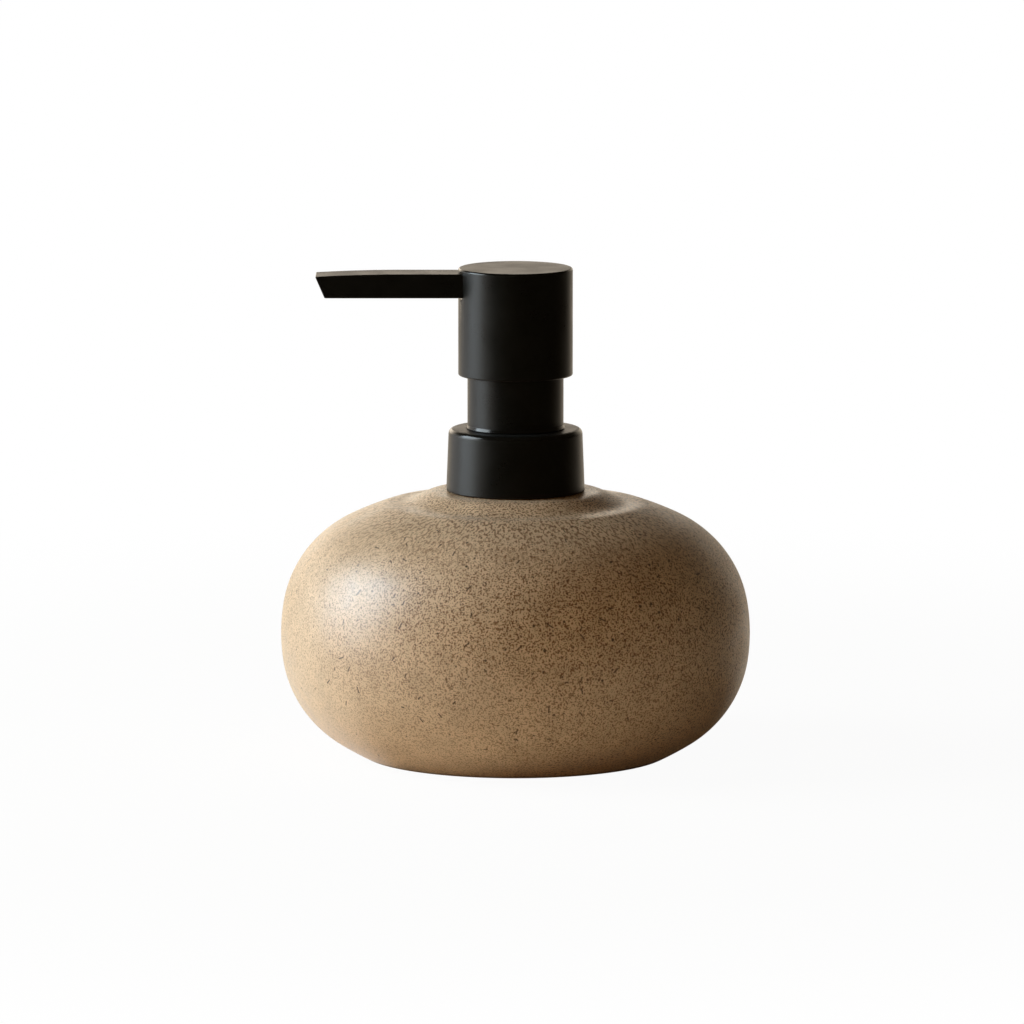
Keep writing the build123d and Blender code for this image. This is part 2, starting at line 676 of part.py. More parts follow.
def spout():
    """Flat bar with a slanted end, a round spigot at its root and a channel right through."""
    root = -CORE_BLOCK_LENGTH / 2
    tip_top = (-SPOUT_REACH, spout_top_z - SPOUT_TIP_DROP)
    tip_low = (SPOUT_TIP_OVERHANG - SPOUT_REACH, spout_z)
    flat_end = (-SPOUT_FLAT_REACH, spout_top_z)
    crown = TangentArc(flat_end, tip_top, tangent=(-1, 0))
    rest = Polyline(tip_top, tip_low, (root, spout_z), (root, spout_top_z), flat_end)
    bar = extrude(Plane.XZ * make_face([crown, rest]), amount=SPOUT_WIDTH / 2, both=True)
    outer_edges = bar.edges().filter_by(lambda edge: edge.center().X < root - SPOUT_EDGE_RADIUS)
    bar = fillet(outer_edges, SPOUT_EDGE_RADIUS)
    spigot_z = spout_z + SPOUT_HEIGHT / 2
    back = Plane(origin=(root, 0, spigot_z), x_dir=(0, 1, 0), z_dir=(1, 0, 0))
    bar += extrude(back * Circle(SPOUT_SPIGOT_DIAMETER / 2), amount=SPOUT_SPIGOT_LENGTH)
    channel = back * Circle(SPOUT_CHANNEL / 2)
    bar -= extrude(channel, amount=SPOUT_SPIGOT_LENGTH)
    return bar - extrude(channel, amount=-SPOUT_REACH)


def head_shell():
    """Cup that covers the core, with a slot in its side for the spout."""
    outline = Polyline(
        (head_inner, head_z),
        (head_radius, head_z),
        (head_radius, head_top_z),
        (0, head_top_z),
        (0, ceiling_z),
        (head_inner, ceiling_z),
        close=True,
    )
    profile = make_face(outline)
    top_edge = profile.vertices().sort_by_distance((head_radius, head_top_z))[0]
    profile = fillet(top_edge, HEAD_TOP_EDGE_RADIUS)
    rim = profile.vertices().sort_by(Axis.Y)[:2]
    shell = revolve(Plane.XZ * fillet(rim, HEAD_RIM_RADIUS), Axis.Z)
    slot_width = SPOUT_WIDTH + 2 * SLOT_GAP
    slot_height = SPOUT_HEIGHT + 2 * SLOT_GAP
    side = Plane(origin=(0, 0, spout_z + SPOUT_HEIGHT / 2), x_dir=(0, 1, 0), z_dir=(-1, 0, 0))
    slot = side * RectangleRounded(slot_width, slot_height, SLOT_CORNER_RADIUS)
    return shell - extrude(slot, amount=head_radius + HEAD_WALL)


pieces = (
    bottle,
    base_disc,
    neck_ferrule,
    neck_gasket,
    screw_cap,
    collar_shell,
    pump_housing,
    dip_tube,
    inlet_ball,
    spring_seat,
    return_spring,
    piston,
    piston_seat,
    stem,
    stem_guide,
    stem_wiper,
    guide_sleeve,
    actuator_core,
    spout,
    head_shell,
)

os.makedirs("parts", exist_ok=True)
for piece in pieces:
    export_step(piece(), f"parts/{piece.__name__}.step")
print("heights", round(land_z, 2), round(collar_top_z, 2), round(head_z, 2), round(head_top_z, 2))
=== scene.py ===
"""Soap pump dispenser: a speckled stoneware bottle with a black press pump, shown in a pale studio."""

import json
import logging
import math
from collections.abc import Sequence
from dataclasses import dataclass, field
from enum import Enum

import bmesh
import bpy
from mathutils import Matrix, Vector


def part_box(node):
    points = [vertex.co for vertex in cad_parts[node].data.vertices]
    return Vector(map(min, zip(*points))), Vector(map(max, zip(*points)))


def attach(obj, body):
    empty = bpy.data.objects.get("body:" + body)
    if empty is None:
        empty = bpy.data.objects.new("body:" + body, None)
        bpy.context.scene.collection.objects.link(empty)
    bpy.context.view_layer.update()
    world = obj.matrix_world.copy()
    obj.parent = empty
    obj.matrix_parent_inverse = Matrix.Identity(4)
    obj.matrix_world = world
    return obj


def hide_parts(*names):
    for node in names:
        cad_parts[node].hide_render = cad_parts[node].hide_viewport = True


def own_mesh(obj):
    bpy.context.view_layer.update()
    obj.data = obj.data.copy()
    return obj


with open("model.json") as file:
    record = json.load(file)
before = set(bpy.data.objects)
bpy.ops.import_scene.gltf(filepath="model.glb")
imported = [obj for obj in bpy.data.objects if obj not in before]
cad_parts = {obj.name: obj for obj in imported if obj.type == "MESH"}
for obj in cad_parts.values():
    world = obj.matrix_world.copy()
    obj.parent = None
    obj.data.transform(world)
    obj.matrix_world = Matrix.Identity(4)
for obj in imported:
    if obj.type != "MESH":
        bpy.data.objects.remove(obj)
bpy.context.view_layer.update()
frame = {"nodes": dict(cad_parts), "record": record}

MM = 0.001
LOG = logging.getLogger("soap_pump")

Colour = tuple[float, float, float, float]
Spot = tuple[float, float, float]
Span = tuple[float, float]
Arc = tuple[Vector, float, float, float, int]
Material = bpy.types.Material
Node = bpy.types.Node
Piece = bpy.types.Object
Shape = bmesh.types.BMesh
Socket = bpy.types.NodeSocket

# Stretches of a noise pattern, from its low places to its high ones
WIDE: Span = (0.3, 0.7)
NARROW: Span = (0.35, 0.65)
UPPER: Span = (0.35, 0.7)

# Fineness of the meshes
SHARP_ANGLE = math.radians(40.0)
WELD_DISTANCE = 0.000002
COIL_CHORDS = 40
WIRE_SIDES = 14
BAR_SIDES = 48


class Body(Enum):
    """Moving groups of the dispenser, by their names in the frame."""

    BOTTLE = "bottle"
    PUMP = "pump_body"
    COLLAR = "collar"
    HEAD = "head"


class Slot(Enum):
    """Material slots of the record."""

    STONEWARE = "stoneware"
    BLACK = "black_plastic"
    NATURAL = "natural_plastic"
    TUBE = "tube_plastic"
    RUBBER = "seal_rubber"
    STEEL = "steel"


class Merge(Enum):
    """Ways that a tool shape changes a piece, by Blender's names."""

    CUT = "DIFFERENCE"
    JOIN = "UNION"


# Node trees


class Bench:
    """A node tree under construction, with short calls that add and join nodes."""

    def __init__(self, tree: bpy.types.NodeTree) -> None:
        """Clears the tree and keeps it."""
        self.tree = tree
        tree.nodes.clear()

    def node(self, kind: str, feeds: dict[str | int, object] | None = None, **settings: object) -> Node:
        """Adds a node.

        Args:
            kind: Blender's type name of the node.
            feeds: What its inputs get, by their names or numbers.
            settings: Its properties by name.

        Returns:
            The new node.
        """
        made = self.tree.nodes.new(kind)
        for name, value in settings.items():
            setattr(made, name, value)
        for name, value in (feeds or {}).items():
            self.feed(made.inputs[name], value)
        return made

    def feed(self, socket: Socket, value: object) -> None:
        """Joins an input to an output, or gives it a plain value.

        Args:
            socket: Input to fill.
            value: Output socket, number, colour or vector.
        """
        if isinstance(value, Socket):
            self.tree.links.new(value, socket)
        else:
            socket.default_value = value

    def math(self, operation: str, first: object, second: object = 0.0, clamp: bool = False) -> Socket:
        """Adds a sum on one or two numbers, by Blender's name, and clamps it to 0 and 1 if asked."""
        made = self.node("ShaderNodeMath", {0: first, 1: second}, operation=operation, use_clamp=clamp)
        return made.outputs[0]

    def plus(self, first: object, second: object) -> Socket:
        """Adds two numbers."""
        return self.math("ADD", first, second)

    def minus(self, first: object, second: object) -> Socket:
        """Takes the second number from the first."""
        return self.math("SUBTRACT", first, second)

    def times(self, first: object, second: object) -> Socket:
        """Multiplies two numbers."""
        return self.math("MULTIPLY", first, second)

    def vector(self, operation: str, first: object, second: object = (0.0, 0.0, 0.0)) -> Socket:
        """Adds a sum on one or two vectors, by Blender's name, which gives a vector or a number."""
        made = self.node("ShaderNodeVectorMath", {0: first, 1: second}, operation=operation)
        return made.outputs["Value" if operation in ("LENGTH", "DOT_PRODUCT") else "Vector"]

    def flat(self, arrow: Socket, normal: Socket) -> Socket:
        """Takes the part of a vector that lies along a surface with the given normal."""
        return self.vector("SUBTRACT", arrow, self.vector("PROJECT", arrow, normal))

    def split(self, vector: Socket) -> tuple[Socket, ...]:
        """Takes a vector apart into X, Y and Z."""
        return tuple(self.node("ShaderNodeSeparateXYZ", {0: vector}).outputs)

    def ramp(self, value: object, span: tuple[object, object], result: Span = (0.0, 1.0)) -> Socket:
        """Maps a number smoothly from one range to another.

        Args:
            value: Number or socket to map.
            span: Values that map to the start and the end of the result.
            result: Start and end of the result.

        Returns:
            The result's socket.
        """
        names = ("Value", "From Min", "From Max", "To Min", "To Max")
        feeds = dict(zip(names, (value, *span, *result)))
        return self.node("ShaderNodeMapRange", feeds, interpolation_type="SMOOTHSTEP").outputs["Result"]

    def mix(self, factor: object, first: object, second: object, blend: str = "MIX") -> Socket:
        """Mixes two colours, with a factor for the second and Blender's name of the way they mix."""
        feeds = {"Factor": factor, "A": first, "B": second}
        return self.node("ShaderNodeMix", feeds, data_type="RGBA", blend_type=blend).outputs["Result"]

    def noise(self, place: Socket, scale: float, detail: float = 2.0, rough: float = 0.5) -> Socket:
        """Adds a noise pattern around 0.5, by its waves per metre, its finer layers and their weight."""
        feeds = {"Vector": place, "Scale": scale, "Detail": detail, "Roughness": rough}
        return self.node("ShaderNodeTexNoise", feeds).outputs["Fac"]

    def cells(self, place: Socket, scale: float) -> Node:
        """Adds a scatter of random cells, with their number per metre."""
        return self.node("ShaderNodeTexVoronoi", {"Vector": place, "Scale": scale})

    def chance(self, cells: Node, channel: str = "Red") -> Socket:
        """Takes one random number from 0 to 1 per cell, from a channel of its colour."""
        return self.node("ShaderNodeSeparateColor", {0: cells.outputs["Color"]}).outputs[channel]


class Surface(Bench):
    """A material under construction, with object coordinates and a principled shader."""

    def __init__(self, name: str) -> None:
        """Starts the material.

        Args:
            name: The material's name.
        """
        self.material = bpy.data.materials.new(name)
        self.material.use_nodes = True
        super().__init__(self.material.node_tree)
        self.place = self.node("ShaderNodeTexCoord").outputs["Object"]
        self.shader = self.node("ShaderNodeBsdfPrincipled")
        self.node("ShaderNodeOutputMaterial", {"Surface": self.shader.outputs["BSDF"]})

    def normal(self) -> Socket:
        """Finds which way the surface faces."""
        return self.node("ShaderNodeNewGeometry").outputs["Normal"]

    def done(self, inputs: dict[str, object], height: Socket, strength: float, depth: float) -> Material:
        """Gives the shader its inputs and a bumpy surface.

        Args:
            inputs: What the shader's inputs get, by their names.
            height: Height pattern of the bumps.
            strength: Share of the bumps that shows.
            depth: Depth of the bumps in metres.

        Returns:
            The finished material.
        """
        bump = self.node("ShaderNodeBump", {"Strength": strength, "Distance": depth, "Height": height})
        for name, value in {**inputs, "Normal": bump.outputs["Normal"]}.items():
            self.feed(self.shader.inputs[name], value)
        return self.material


# Finishes


@dataclass(frozen=True)
class Specks:
    """Scatter of round specks of many sizes, which are given as shares of their spacing."""

    scale: float
    rare: float
    least: float
    most: float
    soft: float = 0.18

    def mask(self, surface: Surface, growth: object = 1.0) -> Socket:
        """Scatters the specks over a surface.

        Args:
            surface: Material under construction.
            growth: Share of their size that they keep.

        Returns:
            The specks' mask.
        """
        cells = surface.cells(surface.place, self.scale)
        size = surface.ramp(surface.chance(cells), (self.rare, 1.0), (self.least, self.most))
        size = surface.times(size, growth)
        return surface.ramp(cells.outputs["Distance"], (size, surface.minus(size, self.soft)))


@dataclass(frozen=True)
class SpeckledGlaze:
    """Satin sand glaze with dense brown specks, larger dark ones and short hairs, in metres."""

    pale_sand: Colour = (0.66, 0.447, 0.264, 1.0)
    warm_sand: Colour = (0.625, 0.412, 0.238, 1.0)
    pepper_brown: Colour = (0.15, 0.05, 0.009, 1.0)
    speck_brown: Colour = (0.085, 0.031, 0.007, 1.0)
    dark_brown: Colour = (0.05, 0.02, 0.005, 1.0)
    bare_clay: Colour = (0.36, 0.24, 0.145, 1.0)
    roughness: float = 0.4
    sway: float = 0.04
    speck_grain: float = 0.08
    bare_grain: float = 0.35
    specular: float = 0.55
    speck_relief: float = 0.35
    bump: float = 0.06
    bump_depth: float = 0.00025
    cloud_scale: float = 24.0
    mottle_scale: float = 170.0
    wave_scale: float = 330.0
    mottling: Span = (0.93, 1.07)
    patches: Span = (-0.1, 0.1)
    foot_levels: Span = (0.01, 0.046)
    foot_shares: Span = (0.66, 1.0)
    # Fewer specks on the lit left flank: a painted highlight that makes that side paler
    painted_highlight_reach: Span = (-0.054, 0.0)
    painted_highlight_shares: Span = (0.55, 1.0)
    bare_levels: Span = (0.0009, 0.0004)
    crown_levels: Span = (0.05, 0.062)
    flank_scale: float = 2300.0
    flank_cut: Span = (0.5, 0.62)
    crown_scale: float = 1900.0
    crown_cut: Span = (0.525, 0.565)
    draw_share: float = 0.42
    draw_offset: float = 0.0148
    small_specks: Specks = Specks(2600.0, rare=0.2, least=0.1, most=0.5)
    fine_specks: Specks = Specks(1450.0, rare=0.6, least=0.0, most=0.48)
    blots: Specks = Specks(430.0, rare=0.3, least=0.0, most=0.2, soft=0.05)
    cover: float = 0.9
    small_cover: float = 0.8
    hair_scale: float = 260.0
    hair_share: float = 0.26
    hair_chances: Span = (0.3, 1.0)
    hair_halves: Span = (0.0003, 0.001)
    hair_flanks: Span = (0.00024, 0.00009)
    hair_tip: float = 0.0002

    def material(self) -> Material:
        """Builds the glaze."""
        surface = Surface("speckled_glaze")
        place = surface.place
        across, _, level = surface.split(place)
        cloud = surface.noise(place, self.cloud_scale, detail=3.0)
        mottle = surface.noise(place, self.mottle_scale, detail=3.0, rough=0.6)
        ground = surface.mix(surface.ramp(cloud, NARROW), self.pale_sand, self.warm_sand)
        ground = surface.mix(1.0, ground, surface.ramp(mottle, WIDE, self.mottling), "MULTIPLY")

        # Specks lie thickest on the shoulder and thin out towards the foot, and towards the lit left flank on
        # the spout's side, where fewer specks paint the window's highlight into the colour
        fall = surface.ramp(level, self.foot_levels, self.foot_shares)
        # painted highlight: specks thin out on the lit left flank
        side = surface.ramp(across, self.painted_highlight_reach, self.painted_highlight_shares)
        patches = surface.ramp(cloud, WIDE, self.patches)
        density = surface.math("ADD", surface.times(fall, side), patches, clamp=True)
        flank = surface.ramp(surface.noise(place, self.flank_scale, detail=1.0), self.flank_cut)
        crown = surface.noise(self.drawn_out(surface), self.crown_scale, detail=1.0)
        crown = surface.ramp(crown, self.crown_cut)
        pepper = surface.times(surface.mix(surface.ramp(level, self.crown_levels), flank, crown), density)
        small = surface.times(self.small_specks.mask(surface), density)
        fine = surface.times(self.fine_specks.mask(surface), density)

        colour = ground
        for mask, cover, stain in (
            (pepper, self.cover, self.pepper_brown),
            (small, self.small_cover, self.speck_brown),
            (fine, self.cover, self.speck_brown),
            (self.hairs(surface, density), self.cover, self.dark_brown),
            (self.blots.mask(surface, density), self.cover, self.dark_brown),
        ):
            colour = surface.mix(surface.times(mask, cover), colour, stain)

        # The ring that the bottle stands on is left bare
        bare = surface.ramp(level, self.bare_levels)
        colour = surface.mix(bare, colour, self.bare_clay)
        satin = surface.ramp(mottle, WIDE, (self.roughness - self.sway, self.roughness + self.sway))
        rough = surface.plus(satin, surface.times(fine, self.speck_grain))
        rough = surface.plus(rough, surface.times(bare, self.bare_grain))
        relief = surface.plus(surface.noise(place, self.wave_scale), surface.times(fine, self.speck_relief))
        inputs = {"Base Color": colour, "Roughness": rough, "Specular IOR Level": self.specular}
        return surface.done(inputs, relief, self.bump, self.bump_depth)

    def drawn_out(self, surface: Surface) -> Socket:
        """Bends the coordinates so that specks beyond the land are drawn out away from the mouth.

        Args:
            surface: Material under construction.

        Returns:
            The bent coordinates.
        """
        flat = surface.vector("MULTIPLY", surface.place, (1.0, 1.0, 0.0))
        reach = surface.vector("LENGTH", flat)
        drawn = surface.plus(surface.times(reach, self.draw_share), self.draw_offset)
        pull = surface.math("DIVIDE", surface.math("MINIMUM", reach, drawn), reach)
        return surface.vector("MULTIPLY", flat, pull)

    def hairs(self, surface: Surface, density: Socket) -> Socket:
        """Builds short thin strokes that lie in every direction in the glaze.

        Args:
            surface: Material under construction.
            density: How thickly specks lie, from 0 to 1.

        Returns:
            The strokes' mask.
        """
        normal = surface.normal()
        cell = surface.cells(surface.place, self.hair_scale)
        centre = cell.outputs["Position"]
        offset = surface.flat(surface.vector("SUBTRACT", surface.place, centre), normal)
        spread = surface.node("ShaderNodeTexWhiteNoise", {"Vector": centre}).outputs["Color"]
        heading = surface.flat(surface.vector("SUBTRACT", spread, (0.5, 0.5, 0.5)), normal)
        heading = surface.vector("NORMALIZE", heading)
        along = surface.math("ABSOLUTE", surface.vector("DOT_PRODUCT", offset, heading))
        across = surface.vector("LENGTH", surface.vector("CROSS_PRODUCT", offset, heading))
        half = surface.ramp(surface.chance(cell, "Green"), self.hair_chances, self.hair_halves)
        thin = surface.ramp(across, self.hair_flanks)
        short = surface.ramp(along, (half, surface.minus(half, self.hair_tip)))
        shown = surface.math("LESS_THAN", surface.chance(cell), surface.times(density, self.hair_share))
        return surface.times(surface.times(thin, short), shown)


@dataclass(frozen=True)
class SatinBlack:
    """Black moulded plastic with a fine satin grain, smoother on its edges and matt on top."""

    colour: Colour = (0.0042, 0.0038, 0.0027, 1.0)
    worn: Colour = (0.006, 0.0054, 0.0039, 1.0)
    gloss_tint: Colour = (1.0, 0.88, 0.76, 1.0)
    specular: float = 0.31
    roughness: float = 0.33
    sway: float = 0.03
    edge_polish: float = 0.17
    top_grain: float = 0.13
    edge_start: Span = (0.12, 0.4)
    top_start: Span = (0.85, 0.97)
    flow_scale: float = 140.0
    grain_scale: float = 3200.0
    bump: float = 0.06
    bump_depth: float = 0.00004

    def material(self) -> Material:
        """Builds the plastic."""
        surface = Surface("satin_black")
        flow = surface.noise(surface.place, self.flow_scale, detail=3.0)
        grain = surface.noise(surface.place, self.grain_scale, rough=0.6)
        satin = surface.ramp(flow, WIDE, (self.roughness - self.sway, self.roughness + self.sway))
        fleck = surface.ramp(grain, NARROW, (-self.sway, self.sway))

        # Rounded upper edges are rubbed smoother, and flat tops have a coarser mould grain
        tilt = surface.split(surface.normal())[2]
        edge = surface.times(surface.ramp(tilt, self.edge_start), surface.ramp(tilt, self.top_start[::-1]))
        rough = surface.minus(surface.plus(satin, fleck), surface.times(edge, self.edge_polish))
        rough = surface.plus(rough, surface.times(surface.ramp(tilt, self.top_start), self.top_grain))
        inputs = {
            "Base Color": surface.mix(surface.ramp(flow, UPPER), self.colour, self.worn),
            "Roughness": rough,
            "Specular IOR Level": self.specular,
            "Specular Tint": self.gloss_tint,
        }
        return surface.done(inputs, grain, self.bump, self.bump_depth)


@dataclass(frozen=True)
class MouldedPlastic:
    """Plain moulded plastic or rubber, slightly cloudy, with faint flow marks."""

    name: str
    colour: Colour
    cloudy: Colour
    roughness: float
    bump: float = 0.05
    sway: float = 0.05
    flow_scale: float = 190.0
    grain_scale: float = 1600.0
    bump_depth: float = 0.00005

    def material(self) -> Material:
        """Builds the plastic."""
        surface = Surface(self.name)
        flow = surface.noise(surface.place, self.flow_scale, detail=4.0, rough=0.6)
        grain = surface.noise(surface.place, self.grain_scale)
        inputs = {
            "Base Color": surface.mix(surface.ramp(flow, WIDE), self.colour, self.cloudy),
            "Roughness": surface.ramp(flow, WIDE, (self.roughness - self.sway, self.roughness + self.sway)),
        }
        return surface.done(inputs, grain, self.bump, self.bump_depth)


@dataclass(frozen=True)
class DrawnSteel:
    """Bright steel with fine drawing marks."""

    colour: Colour = (0.56, 0.56, 0.55, 1.0)
    dull: Colour = (0.42, 0.42, 0.415, 1.0)
    roughness: Span = (0.18, 0.32)
    mark_scale: float = 2600.0
    bump: float = 0.05
    bump_depth: float = 0.00003

    def material(self) -> Material:
        """Builds the steel."""
        surface = Surface("drawn_steel")
        marks = surface.noise(surface.place, self.mark_scale, detail=3.0, rough=0.7)
        inputs = {
            "Base Color": surface.mix(surface.ramp(marks, UPPER), self.colour, self.dull),
            "Roughness": surface.ramp(marks, WIDE, self.roughness),
            "Metallic": 1.0,
        }
        return surface.done(inputs, marks, self.bump, self.bump_depth)


FINISHES = {
    Slot.STONEWARE: SpeckledGlaze(),
    Slot.BLACK: SatinBlack(),
    Slot.NATURAL: MouldedPlastic(
        "natural_plastic", colour=(0.72, 0.72, 0.68, 1.0), cloudy=(0.64, 0.64, 0.6, 1.0), roughness=0.42
    ),
    Slot.TUBE: MouldedPlastic(
        "milky_tube", colour=(0.6, 0.62, 0.61, 1.0), cloudy=(0.68, 0.69, 0.68, 1.0), roughness=0.3
    ),
    Slot.RUBBER: MouldedPlastic(
        "seal_rubber",
        colour=(0.014, 0.014, 0.014, 1.0),
        cloudy=(0.022, 0.022, 0.021, 1.0),
        roughness=0.7,
        bump=0.2,
    ),
    Slot.STEEL: DrawnSteel(),
}


# Outlines of turned pieces


@dataclass(frozen=True)
class Corner:
    """Corner of a half-section in millimetres, with the radius that its edge is rounded to."""

    radius: float
    height: float
    rounding: float = 0.0


@dataclass
class HalfSection:
    """Outline of a turned piece in millimetres: points of radius and height, with the solid on the left."""

    points: list[Span] = field(default_factory=list)
    guard: float = 0.05
    corner_chords: int = 6

    def to(self, radius: float, height: float) -> None:
        """Adds one point."""
        self.points.append((radius, height))

    def arc(self, centre: Vector, radius: float, start: float, end: float, chords: int) -> None:
        """Adds an arc.

        Args:
            centre: The arc's centre.
            radius: The arc's radius.
            start: First angle in radians.
            end: Last angle in radians.
            chords: Number of chords.
        """
        for step in range(chords + 1):
            angle = start + (end - start) * step / chords
            self.to(centre.x + radius * math.cos(angle), centre.y + radius * math.sin(angle))

    def swing(self, centre: Vector, start: Vector, end: Vector, chords: int) -> None:
        """Adds the shorter arc round a centre from one point to another.

        Args:
            centre: The arc's centre.
            start: First point.
            end: Last point.
            chords: Number of chords.
        """
        first = math.atan2(start.y - centre.y, start.x - centre.x)
        turn = math.atan2(end.y - centre.y, end.x - centre.x) - first
        turn = math.atan2(math.sin(turn), math.cos(turn))
        self.arc(centre, (start - centre).length, first, first + turn, chords)

    def corner(self, before: Vector, at: Vector, after: Vector, rounding: float) -> None:
        """Adds a corner, rounded where a radius is given, with guard points that keep its flat sides flat.

        Args:
            before: Corner before this one.
            at: The corner.
            after: Corner after this one.
            rounding: Radius of the edge.
        """
        back = (before - at).normalized()
        ahead = (after - at).normalized()
        half = back.angle(ahead) / 2
        reach = rounding / math.tan(half)
        self.to(*(at + back * (reach + self.guard)))
        if rounding > 0:
            centre = at + (back + ahead).normalized() * (rounding / math.sin(half))
            self.swing(centre, at + back * reach, at + ahead * reach, self.corner_chords)
        else:
            self.to(*at)
        self.to(*(at + ahead * (reach + self.guard)))

    def chain(self, corners: Sequence[Corner], closed: bool = True) -> "HalfSection":
        """Adds an outline from corner to corner.

        Args:
            corners: Corners in order, with the solid on the left.
            closed: Whether the last corner joins the first; both are plain ends otherwise.

        Returns:
            The half-section itself.
        """
        spots = [Vector((corner.radius, corner.height)) for corner in corners]
        ends = () if closed else (0, len(spots) - 1)
        for index, corner in enumerate(corners):
            if index in ends:
                self.to(*spots[index])
            else:
                after = spots[(index + 1) % len(spots)]
                self.corner(spots[index - 1], spots[index], after, corner.rounding)
        if closed:
            self.points.append(self.points[0])
        return self

    def mesh(self, name: str) -> bpy.types.Mesh:
        """Makes the outline a chain of edges in metres, in the XZ plane.

        Args:
            name: The mesh's name.

        Returns:
            The mesh.
        """
        line = bpy.data.meshes.new(name)
        spots = [(radius * MM, 0.0, height * MM) for radius, height in self.points]
        line.from_pydata(spots, [(step, step + 1) for step in range(len(spots) - 1)], [])
        return line


def beside(centre: Vector, old_radius: float, new_radius: float, angle: float) -> Vector:
    """Finds the centre of an arc that carries on tangent from another arc.

    Args:
        centre: Centre of the first arc.
        old_radius: Radius of the first arc.
        new_radius: Radius of the arc that carries on.
        angle: Angle in degrees where they meet.

    Returns:
        The new centre.
    """
    turn = math.radians(angle)
    return centre + (old_radius - new_radius) * Vector((math.cos(turn), math.sin(turn)))


def blend_centre(arc_centre: Vector, reach: float, start: Vector, end: Vector, offset: float) -> Vector:
    """Finds the centre of a blend between an arc and a line.

    Args:
        arc_centre: Centre of the arc.
        reach: Distance of the blend's centre from it.
        start: Point on the line where it meets the arc.
        end: Further point on the line.
        offset: Distance of the blend's centre to the left of the line.

    Returns:
        The blend's centre that lies nearest to the meeting point.
    """
    along = (end - start).normalized()
    foot = start + offset * Vector((-along.y, along.x)) - arc_centre
    lean = foot.dot(along)
    root = math.sqrt(lean * lean - foot.dot(foot) + reach * reach)
    spots = [arc_centre + foot + along * (side * root - lean) for side in (-1, 1)]
    return min(spots, key=lambda spot: (spot - start).length)


# Meshes and geometry node trees


def add_object(name: str, data: bpy.types.ID) -> Piece:
    """Puts a new object in the scene.

    Args:
        name: The object's name.
        data: Its mesh, lamp or camera.

    Returns:
        The object.
    """
    made = bpy.data.objects.new(name, data)
    bpy.context.scene.collection.objects.link(made)
    return made


def add_shape(name: str, shape: Shape) -> Piece:
    """Makes a shape an object with smooth faces.

    Args:
        name: The object's name.
        shape: The shape, which is freed.

    Returns:
        The object.
    """
    mesh = bpy.data.meshes.new(name)
    shape.to_mesh(mesh)
    shape.free()
    mesh.polygons.foreach_set("use_smooth", [True] * len(mesh.polygons))
    return add_object(name, mesh)


def loft(rings: Sequence[Sequence[Spot]]) -> Shape:
    """Makes a closed shape through rings of points.

    Args:
        rings: Rings of equally many points, in metres.

    Returns:
        The shape, with its faces pointing outwards.
    """
    shape = bmesh.new()
    loops = [[shape.verts.new(spot) for spot in ring] for ring in rings]
    shape.faces.new(loops[0])
    shape.faces.new(loops[-1])
    for near, far in zip(loops, loops[1:]):
        for step in range(len(near)):
            shape.faces.new((near[step - 1], far[step - 1], far[step], near[step]))
    bmesh.ops.recalc_face_normals(shape, faces=shape.faces)
    return shape


def round_bar(radius: float, start: float, end: float, height: float) -> Shape:
    """Makes a round bar along X.

    Args:
        radius: Radius in millimetres.
        start: First X in metres.
        end: Last X in metres.
        height: Height of its axis in metres.

    Returns:
        The bar.
    """
    turns = [2 * math.pi * step / BAR_SIDES for step in range(BAR_SIDES)]
    ring = [(radius * MM * math.cos(turn), height + radius * MM * math.sin(turn)) for turn in turns]
    return loft([[(x, y, z) for y, z in ring] for x in (start, end)])


def bake_modifiers(piece: Piece, finish: Material) -> None:
    """Replaces a piece's mesh by what its modifiers make of it, with one finish all over.

    Args:
        piece: The piece to bake.
        finish: The piece's material.
    """
    bpy.context.view_layer.update()
    graph = bpy.context.evaluated_depsgraph_get()
    baked = bpy.data.meshes.new_from_object(piece.evaluated_get(graph), depsgraph=graph)
    piece.modifiers.clear()
    piece.data = baked
    baked.materials.clear()
    baked.materials.append(finish)
    baked.polygons.foreach_set("material_index", [0] * len(baked.polygons))
    baked.set_sharp_from_angle(angle=SHARP_ANGLE)


def combine(piece: Piece, shape: Shape, how: Merge) -> None:
    """Cuts a shape out of a piece, or joins it on.

    Args:
        piece: The piece to change.
        shape: The shape, which is thrown away.
        how: Whether it cuts or joins.
    """
    other = add_shape("tool", shape)
    modifier = piece.modifiers.new("combine", "BOOLEAN")
    modifier.operation = how.value
    modifier.solver = "EXACT"
    modifier.object = other
    weigh = piece.modifiers.new("flat_sides", "WEIGHTED_NORMAL")
    weigh.keep_sharp = True
    bake_modifiers(piece, piece.data.materials[0])
    bpy.data.objects.remove(other)


